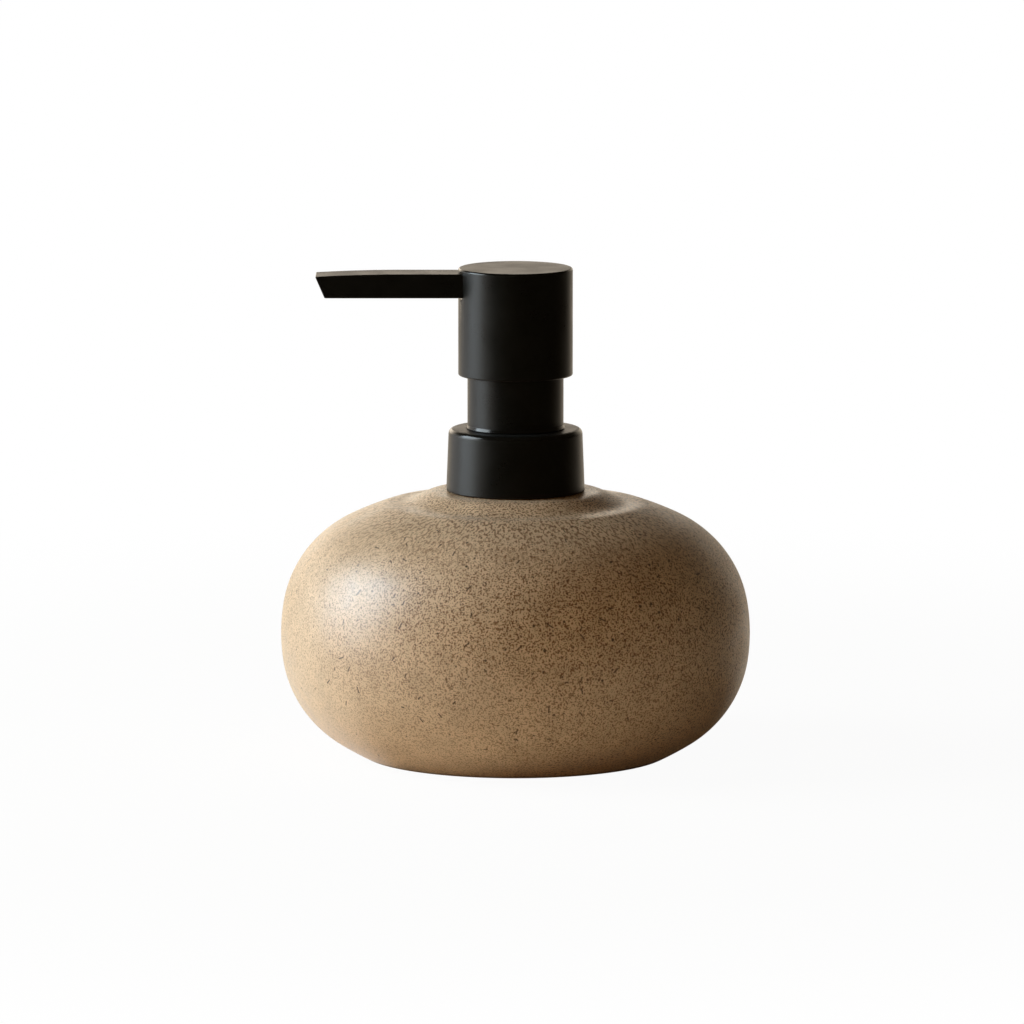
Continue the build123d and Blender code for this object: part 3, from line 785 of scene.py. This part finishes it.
class FormTree:
    """A geometry node tree with named inputs, and the call that turns it into a plain mesh."""

    def __init__(self, name: str, inputs: dict[str, str]) -> None:
        """Starts the tree with its inputs and output.

        Args:
            name: The tree's name.
            inputs: Socket types of its inputs by name.
        """
        tree = bpy.data.node_groups.new(name, "GeometryNodeTree")
        self.bench = Bench(tree)
        tree.interface.new_socket("Geometry", in_out="INPUT", socket_type="NodeSocketGeometry")
        self.identifiers = {
            label: tree.interface.new_socket(label, in_out="INPUT", socket_type=kind).identifier
            for label, kind in {**inputs, "Material": "NodeSocketMaterial"}.items()
        }
        tree.interface.new_socket("Geometry", in_out="OUTPUT", socket_type="NodeSocketGeometry")
        self.given = self.bench.node("NodeGroupInput").outputs

    def close(self, shape: Socket) -> None:
        """Ends the tree: shades the shape smooth, makes it plain and gives it its material.

        Args:
            shape: The finished geometry.
        """
        for kind in ("GeometryNodeSetShadeSmooth", "GeometryNodeRealizeInstances", "GeometryNodeSetMaterial"):
            made = self.bench.node(kind, {"Geometry": shape})
            shape = made.outputs["Geometry"]
        self.bench.feed(made.inputs["Material"], self.given["Material"])
        self.bench.node("NodeGroupOutput", {"Geometry": shape})

    def make(self, name: str, base: bpy.types.Mesh, values: dict[str, object]) -> Piece:
        """Runs the tree on a mesh and keeps the result as a plain mesh.

        Args:
            name: The piece's name.
            base: Mesh that the tree starts from.
            values: Values of the tree's inputs by name.

        Returns:
            The piece.
        """
        piece = add_object(name, base)
        modifier = piece.modifiers.new("form", "NODES")
        modifier.node_group = self.bench.tree
        for label, value in values.items():
            modifier[self.identifiers[label]] = value
        bake_modifiers(piece, values["Material"])
        return piece


def turned_tree() -> FormTree:
    """Builds the tree that turns a half-section round the Z axis.

    Returns:
        The tree, with inputs Rows, Segments and Material.
    """
    form = FormTree("turned_form", dict.fromkeys(("Rows", "Segments"), "NodeSocketInt"))
    bench, given = form.bench, form.given

    # A sheet of one by one, with a column for each segment and a row for each point of the half-section
    columns = bench.plus(given["Segments"], 1.0)
    sheet = bench.node(
        "GeometryNodeMeshGrid",
        {"Size X": 1.0, "Size Y": 1.0, "Vertices X": columns, "Vertices Y": given["Rows"]},
    )
    position = bench.node("GeometryNodeInputPosition").outputs[0]
    column, row, _ = bench.split(position)
    angle = bench.times(bench.plus(column, 0.5), 2 * math.pi)
    index = bench.times(bench.plus(row, 0.5), bench.minus(given["Rows"], 1.0))

    # Each point of the sheet goes to its row's radius and height, at its column's angle
    sample = bench.node(
        "GeometryNodeSampleIndex",
        {"Geometry": given["Geometry"], "Value": position, "Index": bench.math("ROUND", index)},
        data_type="FLOAT_VECTOR",
        domain="POINT",
    )
    radius, _, height = bench.split(sample.outputs[0])
    x = bench.times(radius, bench.math("COSINE", angle))
    y = bench.times(radius, bench.math("SINE", angle))
    around = bench.node("ShaderNodeCombineXYZ", {"X": x, "Y": y, "Z": height}).outputs[0]
    placed = bench.node("GeometryNodeSetPosition", {"Geometry": sheet.outputs["Mesh"], "Position": around})
    seam = {"Geometry": placed.outputs["Geometry"], "Distance": WELD_DISTANCE}
    form.close(bench.node("GeometryNodeMergeByDistance", seam).outputs["Geometry"])
    return form


def coil_tree() -> FormTree:
    """Builds the tree that winds a round wire into an upright coil.

    Returns:
        The tree, with inputs Turns, Radius, Height, Foot, Wire and Material.
    """
    sizes = ("Turns", "Radius", "Height", "Foot", "Wire")
    form = FormTree("wire_coil", dict.fromkeys(sizes, "NodeSocketFloat"))
    bench, given = form.bench, form.given
    winding = {
        "Resolution": COIL_CHORDS,
        "Rotations": given["Turns"],
        "Start Radius": given["Radius"],
        "End Radius": given["Radius"],
        "Height": given["Height"],
    }
    path = bench.node("GeometryNodeCurveSpiral", winding).outputs["Curve"]
    lift = bench.node("ShaderNodeCombineXYZ", {"Z": given["Foot"]}).outputs[0]
    raised = bench.node("GeometryNodeTransform", {"Geometry": path, "Translation": lift}).outputs["Geometry"]
    ring = bench.node("GeometryNodeCurvePrimitiveCircle", {"Resolution": WIRE_SIDES, "Radius": given["Wire"]})
    wire = {"Curve": raised, "Profile Curve": ring.outputs["Curve"], "Fill Caps": True}
    form.close(bench.node("GeometryNodeCurveToMesh", wire).outputs["Mesh"])
    return form


def settle(piece: Piece, body: Body, slot: Slot, *nodes: str) -> None:
    """Lets a piece ride on its body in place of nodes of the frame.

    Args:
        piece: The finished piece.
        body: Body that carries it.
        slot: Material slot of its finish; not used.
        nodes: Nodes that it stands for.
    """
    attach(piece, body.value)
    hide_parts(*nodes)
    LOG.info("%s rides on %s, %d faces", piece.name, body.value, len(piece.data.polygons))


# Sub-assemblies


@dataclass
class TurnedPiece:
    """Piece that is turned from a half-section, in millimetres."""

    name: str = "turned_piece"
    segments: int = 160

    def outline(self) -> HalfSection:
        """Draws the half-section."""
        raise NotImplementedError

    def build(self, form: FormTree, finish: Material) -> Piece:
        """Turns the piece and dresses it.

        Args:
            form: Tree that turns a half-section.
            finish: The piece's material.

        Returns:
            The piece.
        """
        section = self.outline()
        values = {"Rows": len(section.points), "Segments": self.segments, "Material": finish}
        return form.make(self.name, section.mesh(self.name), values)


@dataclass
class StonewareBottle(TurnedPiece):
    """Pebble-shaped bottle with a recessed foot and a low raised land round its mouth, in millimetres."""

    name: str = "glazed_bottle"
    segments: int = 288
    body_diameter: float = 115.0
    side_radius: float = 45.0
    side_top: float = 9.8
    side_bottom: float = -7.9
    corner_radius: float = 28.0
    shoulder_start: float = 64.5
    underside_start: float = -57.9
    flat_radius: float = 80.0
    foot_diameter: float = 74.4
    foot_edge: float = 1.0
    foot_ring: float = 7.0
    foot_recess: float = 1.2
    ring_edge: float = 0.3
    recess_edge: float = 0.6
    wall: float = 4.5
    floor: float = 6.0
    rest_radius: float = 16.0
    land_radius: float = 20.5
    land_rise: float = 0.2
    land_run: float = 6.0
    valley_depth: float = 1.0
    valley_reach: float = 5.8
    mouth_radius: float = 11.95
    mouth_edge: float = 0.4
    heel_chords: int = 8
    land_chords: int = 12
    outer_chords: tuple[int, ...] = (14, 26, 12, 28, 10)
    inner_chords: tuple[int, ...] = (8, 12, 6, 12, 8)

    def __post_init__(self) -> None:
        """Works out the arcs' centres from the widest line, and lifts them so that the foot stands at 0."""
        side = Vector((self.body_diameter / 2 - self.side_radius, 0.0))
        upper = beside(side, self.side_radius, self.corner_radius, self.side_top)
        lower = beside(side, self.side_radius, self.corner_radius, self.side_bottom)
        shoulder = beside(upper, self.corner_radius, self.flat_radius, self.shoulder_start)
        underside = beside(lower, self.corner_radius, self.flat_radius, self.underside_start)
        drop = math.sqrt(self.flat_radius**2 - (self.foot_diameter / 2 - underside.x) ** 2)
        lift = Vector((0.0, drop - underside.y))
        self.side, self.upper, self.lower = side + lift, upper + lift, lower + lift
        self.shoulder, self.underside = shoulder + lift, underside + lift

    def outline(self) -> HalfSection:
        """Draws the outside from the foot up to the mouth, and the hollow back down."""
        section = HalfSection()
        self.outside(section)
        self.inside(section)
        return section

    def arcs(self, inset: float, low: float, high: float, chords: Sequence[int]) -> list[Arc]:
        """Lists the arcs of the underside, the side and the shoulder, from the foot up.

        Args:
            inset: Distance that they lie inside the bottle's outer face.
            low: First angle of the lowest arc in radians.
            high: Last angle of the highest arc in radians.
            chords: Number of chords of each arc.

        Returns:
            Centre, radius, first angle, last angle and number of chords of each arc.
        """
        meets = (self.underside_start, self.side_bottom, self.side_top, self.shoulder_start)
        turns = [low, *(math.radians(angle) for angle in meets), high]
        bends = (
            (self.underside, self.flat_radius),
            (self.lower, self.corner_radius),
            (self.side, self.side_radius),
            (self.upper, self.corner_radius),
            (self.shoulder, self.flat_radius),
        )
        runs = zip(bends, turns, turns[1:], chords)
        return [(centre, radius - inset, start, end, count) for (centre, radius), start, end, count in runs]

    def outside(self, section: HalfSection) -> None:
        """Adds the foot, the side and the land to the outline.

        Args:
            section: Outline to add to.
        """
        foot = Vector((self.foot_diameter / 2, 0.0))
        ring = Vector((foot.x - self.foot_ring, 0.0))
        ceiling = Vector((ring.x, self.foot_recess))
        axis = Vector((0.0, self.foot_recess))
        section.to(*axis)
        section.corner(axis, ceiling, ring, self.recess_edge)
        section.corner(ceiling, ring, foot, self.ring_edge)
        heel = blend_centre(self.underside, self.flat_radius - self.foot_edge, foot, ring, -self.foot_edge)
        heel_end = self.underside + (heel - self.underside).normalized() * self.flat_radius
        section.swing(heel, Vector((heel.x, 0.0)), heel_end, self.heel_chords)

        # The shoulder dips into a shallow valley, climbs to the land and is level where the collar rests
        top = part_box("bottle")[1].z / MM
        valley = self.land_radius + self.land_run
        brim = valley + self.valley_reach
        rise = heel_end - self.underside
        last = math.acos((brim - self.shoulder.x) / self.flat_radius)
        for arc in self.arcs(0.0, math.atan2(rise.y, rise.x), last, self.outer_chords):
            section.arc(*arc)
        stations = (
            (brim, 0.0),
            (valley, -self.valley_depth),
            (self.land_radius, self.land_rise),
            (self.rest_radius, top - self.shoulder_height(self.rest_radius)),
        )
        for (outer, before), (inner, after) in zip(stations, stations[1:]):
            for step in range(1, self.land_chords + 1):
                share = step / self.land_chords
                radius = outer + (inner - outer) * share
                offset = before + (after - before) * share**2 * (3 - 2 * share)
                section.to(radius, self.shoulder_height(radius) + offset)
        mouth = Vector((self.mouth_radius, top))
        bore = Vector((self.mouth_radius, top - self.wall))
        section.corner(Vector((self.rest_radius, top)), mouth, bore, self.mouth_edge)

    def shoulder_height(self, radius: float) -> float:
        """Finds the height of the shoulder's arc at a radius."""
        return self.shoulder.y + math.sqrt(self.flat_radius**2 - (radius - self.shoulder.x) ** 2)

    def inside(self, section: HalfSection) -> None:
        """Adds the mouth's bore and the hollow to the outline.

        Args:
            section: Outline to add to.
        """
        radius = self.flat_radius - self.wall
        neck = math.acos((self.mouth_radius - self.shoulder.x) / radius)
        sole = -math.asin((self.underside.y - self.floor) / radius)
        for centre, reach, start, end, count in reversed(self.arcs(self.wall, sole, neck, self.inner_chords)):
            section.arc(centre, reach, end, start, count)
        section.to(0.0, self.floor)


@dataclass
class ScrewCollar(TurnedPiece):
    """Smooth black collar over the screw cap, in millimetres."""

    name: str = "collar_cover"
    segments: int = 160
    draft: float = 0.6
    wall: float = 1.0
    bore_radius: float = 8.3
    bore_edge: float = 0.3
    top_edge: float = 1.3
    foot_edge: float = 0.22

    def outline(self) -> HalfSection:
        """Draws the collar where the frame has it."""
        low, high = (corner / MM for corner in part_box("collar_shell"))
        top_radius = high.x - self.draft
        inner = top_radius - self.wall
        return HalfSection().chain(
            (
                Corner(inner, low.z),
                Corner(high.x, low.z, self.foot_edge),
                Corner(top_radius, high.z, self.top_edge),
                Corner(self.bore_radius, high.z, self.bore_edge),
                Corner(self.bore_radius, high.z - self.wall),
                Corner(inner, high.z - self.wall),
            )
        )


@dataclass
class GuideSleeve(TurnedPiece):
    """Black tube that the head slides over, flared a little at its foot, in millimetres."""

    name: str = "sleeve_tube"
    segments: int = 128
    flare: float = 0.35
    flare_height: float = 0.8
    flare_edge: float = 0.1
    flare_bend: float = 0.6
    wall: float = 1.1
    edge: float = 0.2

    def outline(self) -> HalfSection:
        """Draws the sleeve where the frame has it."""
        low, high = (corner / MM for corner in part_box("guide_sleeve"))
        radius = high.x - self.flare
        return HalfSection().chain(
            (
                Corner(radius - self.wall, low.z),
                Corner(high.x, low.z, self.flare_edge),
                Corner(radius, low.z + self.flare_height, self.flare_bend),
                Corner(radius, high.z, self.edge),
                Corner(radius - self.wall, high.z, self.edge),
            )
        )


@dataclass
class PressHead(TurnedPiece):
    """Cylindrical cup that is pressed, with a slot in its side for a flat bar spout, in millimetres."""

    name: str = "press_cup"
    segments: int = 192
    wall: float = 1.1
    top: float = 0.8
    top_edge: float = 0.55
    rim_edge: float = 0.4
    inner_edge: float = 0.2
    slot_gap: float = 0.3
    slot_corner: float = 0.8
    slot_chamfer: float = 0.3
    slot_chords: int = 6
    bar_root: float = 8.0
    flat_reach: float = 28.0
    tip_drop: float = 0.6
    tip_overhang: float = 2.3
    tip_chords: int = 16
    bar_edge: float = 0.3
    bar_edge_chords: int = 4
    keen_angle: float = 25.0
    channel: float = 3.2
    spigot: float = 4.6

    def outline(self) -> HalfSection:
        """Draws the cup where the frame has it."""
        low, high = (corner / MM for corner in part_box("head_shell"))
        inner = high.x - self.wall
        ceiling = high.z - self.top
        return HalfSection().chain(
            (
                Corner(0.0, ceiling),
                Corner(inner, ceiling, self.inner_edge),
                Corner(inner, low.z, self.rim_edge),
                Corner(high.x, low.z, self.rim_edge),
                Corner(high.x, high.z, self.top_edge),
                Corner(0.0, high.z),
            ),
            closed=False,
        )

    def build(self, form: FormTree, finish: Material) -> Piece:
        """Turns the cup, dresses it and cuts the spout's slot.

        Args:
            form: Tree that turns a half-section.
            finish: The cup's material.

        Returns:
            The cup.
        """
        cup = super().build(form, finish)
        combine(cup, self.slot_cutter(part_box("head_shell")[1].x / MM), Merge.CUT)
        return cup

    def slot_cutter(self, head_radius: float) -> Shape:
        """Makes the rounded bar that cuts the slot and breaks its outer edge.

        Args:
            head_radius: Radius of the cup.

        Returns:
            The cutter.
        """
        narrow = self.slot_outline(0.0)
        wide = self.slot_outline(self.slot_chamfer)
        skin = [-math.sqrt(head_radius**2 - across**2) for across, _ in wide]
        rings = (
            [(-head_radius / 2, *spot) for spot in narrow],
            [(reach + self.slot_chamfer, *spot) for reach, spot in zip(skin, narrow)],
            [(reach, *spot) for reach, spot in zip(skin, wide)],
            [(-head_radius - self.wall, *spot) for spot in wide],
        )
        return loft([[Vector(spot) * MM for spot in ring] for ring in rings])

    def slot_outline(self, grow: float) -> list[Span]:
        """Draws the slot as a rounded oblong round the spout.

        Args:
            grow: Distance that the outline is moved outwards.

        Returns:
            Points across and up.
        """
        low, high = (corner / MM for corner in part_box("spout"))
        half_width = high.y + self.slot_gap - self.slot_corner
        middle = (high.z + low.z) / 2
        half_height = (high.z - low.z) / 2 + self.slot_gap - self.slot_corner
        radius = self.slot_corner + grow
        outline = []
        for quarter, (side, up) in enumerate(((1, 1), (-1, 1), (-1, -1), (1, -1))):
            for step in range(self.slot_chords + 1):
                angle = math.radians(90 * (quarter + step / self.slot_chords))
                across = side * half_width + radius * math.cos(angle)
                outline.append((across, middle + up * half_height + radius * math.sin(angle)))
        return outline

    def build_spout(self, finish: Material) -> Piece:
        """Makes the bar spout with its slanted end, its spigot and the channel through it.

        Args:
            finish: The spout's material.

        Returns:
            The spout.
        """
        low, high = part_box("spout")
        root = -self.bar_root * MM
        flat = -self.flat_reach * MM
        run = flat - low.x
        drop = self.tip_drop * MM
        radius = (run * run + drop * drop) / (2 * drop)
        turns = [math.asin(run / radius) * step / self.tip_chords for step in range(self.tip_chords + 1)]
        crown = [(flat - radius * math.sin(turn), high.z - radius * (1 - math.cos(turn))) for turn in turns]
        outline = [(root, low.z), (root, high.z), *crown, (low.x + self.tip_overhang * MM, low.z)]
        shape = loft([[(x, y, z) for x, z in outline] for y in (low.y, high.y)])

        # Edges outside the head are rounded
        keen = [
            edge
            for edge in shape.edges
            if edge.calc_face_angle() > math.radians(self.keen_angle)
            and min(vert.co.x for vert in edge.verts) < root - MM
        ]
        rounding = {"offset": self.bar_edge * MM, "segments": self.bar_edge_chords, "profile": 0.5}
        bmesh.ops.bevel(shape, geom=keen, affect="EDGES", **rounding)
        spout = add_shape("bar_spout", shape)
        spout.data.materials.append(finish)
        middle = (low.z + high.z) / 2
        combine(spout, round_bar(self.spigot / 2, root - MM / 2, high.x, middle), Merge.JOIN)
        combine(spout, round_bar(self.channel / 2, low.x - MM, high.x + MM, middle), Merge.CUT)
        return spout


@dataclass
class PumpWorks:
    """Inner pieces of the pump: the frame's own shapes with better finishes, and a wound spring."""

    spring_turns: float = 7.5
    spring_wire: float = 0.9
    stroke: float = 11.5

    def dress(self, finishes: dict[Slot, Material]) -> None:
        """Gives the frame's nodes their finishes.

        Args:
            finishes: Materials by their slots.
        """
        slots = {part["node"]: Slot(part["material_slot"]) for part in frame["record"]["subparts"]}
        for name, node in frame["nodes"].items():
            for holder in node.material_slots:
                holder.material = finishes[slots[name]]
            LOG.info("%s has the finish %s", name, finishes[slots[name]].name)

    def build_spring(self, form: FormTree, finish: Material) -> None:
        """Winds the return spring.

        Args:
            form: Tree that winds a wire.
            finish: The spring's material.
        """
        low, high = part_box("return_spring")
        wire = self.spring_wire * MM / 2
        values = {
            "Turns": self.spring_turns,
            "Radius": high.x - wire,
            "Height": high.z - low.z - 2 * wire,
            "Foot": low.z + wire,
            "Wire": wire,
            "Material": finish,
        }
        spring = form.make("coil_spring", bpy.data.meshes.new("coil_spring"), values)
        settle(spring, Body.PUMP, Slot.STEEL, "return_spring")
        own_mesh(spring)


# Studio


def stand(name: str, data: bpy.types.ID, place: Spot, aim: Spot) -> Piece:
    """Puts a lamp or the camera in the scene, facing a point.

    Args:
        name: Its name.
        data: The lamp or the camera.
        place: Where it stands, in metres.
        aim: Point that it faces.

    Returns:
        The object.
    """
    made = add_object(name, data)
    made.location = place
    made.rotation_euler = (Vector(aim) - Vector(place)).to_track_quat("-Z", "Y").to_euler()
    return made


@dataclass(frozen=True)
class Softbox:
    """Soft oblong lamp, with its place, size and aim in metres."""

    name: str
    place: Spot
    size: Span
    power: float
    tint: Spot
    in_gloss: bool = True
    aim: Spot = (0.0, 0.0, 0.06)

    def light(self) -> None:
        """Sets up the lamp."""
        lamp = bpy.data.lights.new(self.name, "AREA")
        lamp.shape = "RECTANGLE"
        lamp.size, lamp.size_y = self.size
        lamp.energy = self.power
        lamp.color = self.tint
        stand(self.name, lamp, self.place, self.aim).visible_glossy = self.in_gloss


DAYLIGHT: Spot = (0.73, 0.92, 1.1)


@dataclass
class Studio:
    """Pale floor, soft lamps and the camera."""

    floor_radius: float = 0.46
    floor_sides: int = 96
    floor_colour: Colour = (0.96, 0.84, 0.68, 1.0)
    floor_white: float = 0.955
    floor_fade: Span = (0.35, 0.9)
    dim: Colour = (0.045, 0.036, 0.024, 1.0)
    warm: Colour = (1.0, 0.87, 0.69, 1.0)
    bright: Colour = (2.6, 2.27, 1.85, 1.0)
    white: Colour = (1.0, 1.0, 1.0, 1.0)
    back_way: Spot = (-0.09, 0.996, 0.0)
    floor_back: Span = (0.0, 0.7)
    room_back: Span = (0.45, 1.0)
    window_way: Spot = (-0.99, 0.14, 0.0)
    window_edge: Span = (0.58, 0.92)
    corner_side: Span = (0.16, 0.03)
    corner_depth: Span = (0.72, 0.93)
    corner_foot: Span = (0.0, 0.12)
    wall_top: Span = (0.22, 0.5)
    eye: Spot = (-0.00086, -2.348, 0.40373)
    aim: Spot = (-0.00086, 0.0, 0.05973)
    lens: float = 340.6
    sensor: float = 36.0
    far_clip: float = 20.0
    lamps: tuple[Softbox, ...] = (
        Softbox("low_window", (-0.92, -0.016, 0.19), (0.56, 0.34), 4.4, DAYLIGHT),
        Softbox("high_window", (-0.805, 0.028, 0.525), (0.6, 0.4), 8.2, DAYLIGHT),
        Softbox("front_fill", (-0.5, -0.98, 0.3), (0.5, 0.45), 1.85, (1.0, 0.71, 0.4), in_gloss=False),
        Softbox("back_fill", (0.55, 0.95, 0.14), (0.5, 0.24), 1.1, (1.0, 0.8, 0.6), in_gloss=False),
        Softbox("top_light", (-0.5, 0.06, 1.0), (0.6, 0.6), 0.8, (1.0, 0.84, 0.62), in_gloss=False),
    )

    def rays(self, bench: Bench) -> tuple[Socket, Socket]:
        """Sorts the rays that reach the floor or the world.

        Args:
            bench: Bench of the floor or the world.

        Returns:
            Whether a ray comes from the camera, and whether it comes from gloss or glass.
        """
        path = bench.node("ShaderNodeLightPath").outputs
        gloss = bench.math("MAXIMUM", path["Is Glossy Ray"], path["Is Transmission Ray"])
        return path["Is Camera Ray"], gloss

    def shown_in_gloss(self, bench: Bench, way: Socket, back: Span) -> Socket:
        """Finds what gloss and glass show around: white towards the window, a warm wall behind, else dim.

        Args:
            bench: Bench of the floor or the world.
            way: Direction from the object.
            back: Shares of the direction backwards at which the wall starts and is full.

        Returns:
            The colour's socket.
        """
        level = bench.vector("NORMALIZE", bench.vector("MULTIPLY", way, (1.0, 1.0, 0.0)))
        across, deep, _ = bench.split(level)
        steep = bench.split(bench.vector("NORMALIZE", way))[2]
        behind = bench.vector("DOT_PRODUCT", level, self.back_way)
        sideways = bench.vector("DOT_PRODUCT", level, self.window_way)
        corner = bench.times(bench.ramp(across, self.corner_side), bench.ramp(deep, self.corner_depth))
        corner = bench.times(bench.ramp(steep, self.corner_foot), corner)
        colour = bench.mix(bench.ramp(behind, back), self.dim, bench.mix(corner, self.warm, self.bright))
        colour = bench.mix(bench.ramp(sideways, self.window_edge), colour, self.white)
        return bench.mix(bench.ramp(steep, self.wall_top), colour, self.dim)

    def lay_floor(self) -> None:
        """Lays a round floor that keeps a faint shadow and fades to white at its edge."""
        shape = bmesh.new()
        disc = {"segments": self.floor_sides, "radius": self.floor_radius}
        bmesh.ops.create_circle(shape, cap_ends=True, cap_tris=True, **disc)
        floor = add_shape("floor", shape)
        material = bpy.data.materials.new("pale_floor")
        material.use_nodes = True
        bench = Bench(material.node_tree)
        place = bench.node("ShaderNodeTexCoord").outputs["Object"]
        seen, gloss = self.rays(bench)
        plain = bench.node("ShaderNodeBsdfDiffuse", {"Color": self.floor_colour})
        shown = bench.mix(seen, self.shown_in_gloss(bench, place, self.floor_back), self.white)
        glow = bench.node("ShaderNodeEmission", {"Color": shown, "Strength": 1.0})
        fade = tuple(self.floor_radius * share for share in self.floor_fade)
        share = bench.ramp(bench.vector("LENGTH", place), fade, (self.floor_white, 1.0))
        share = bench.times(share, bench.math("MAXIMUM", seen, gloss))
        blend = bench.node("ShaderNodeMixShader", {0: share, 1: plain.outputs[0], 2: glow.outputs[0]})
        bench.node("ShaderNodeOutputMaterial", {"Surface": blend.outputs[0]})
        floor.data.materials.append(material)

    def light(self) -> None:
        """Sets up the lamps and the surroundings, which the camera sees as white."""
        for lamp in self.lamps:
            lamp.light()
        world = bpy.data.worlds.new("studio")
        world.use_nodes = True
        bpy.context.scene.world = world
        bench = Bench(world.node_tree)
        seen, gloss = self.rays(bench)
        way = bench.node("ShaderNodeTexCoord").outputs["Generated"]
        room = bench.mix(gloss, self.dim, self.shown_in_gloss(bench, way, self.room_back))
        shown = bench.mix(seen, room, self.white)
        sky = bench.node("ShaderNodeBackground", {"Color": shown, "Strength": 1.0})
        bench.node("ShaderNodeOutputWorld", {"Surface": sky.outputs[0]})

    def set_camera(self) -> None:
        """Sets up the camera at the photograph's viewing angle."""
        optics = bpy.data.cameras.new("camera")
        optics.sensor_width = self.sensor
        optics.lens = self.lens
        optics.clip_end = self.far_clip
        bpy.context.scene.camera = stand("camera", optics, self.eye, self.aim)
        bpy.context.scene.view_settings.view_transform = "Standard"


def main() -> None:
    """Builds the dispenser and the studio."""
    logging.basicConfig(level=logging.INFO, format="%(name)s: %(message)s")
    finishes = {slot: finish.material() for slot, finish in FINISHES.items()}
    glaze, black, steel = finishes[Slot.STONEWARE], finishes[Slot.BLACK], finishes[Slot.STEEL]
    turned = turned_tree()
    works = PumpWorks()
    works.dress(finishes)
    works.build_spring(coil_tree(), steel)
    settle(StonewareBottle().build(turned, glaze), Body.BOTTLE, Slot.STONEWARE, "bottle", "base_disc")
    settle(ScrewCollar().build(turned, black), Body.COLLAR, Slot.BLACK, "collar_shell")
    settle(GuideSleeve().build(turned, black), Body.PUMP, Slot.BLACK, "guide_sleeve")
    head = PressHead()
    settle(head.build(turned, black), Body.HEAD, Slot.BLACK, "head_shell")
    settle(head.build_spout(black), Body.HEAD, Slot.BLACK, "spout")

    studio = Studio()
    studio.lay_floor()
    studio.light()
    studio.set_camera()


if __name__ == "__main__":
    main()
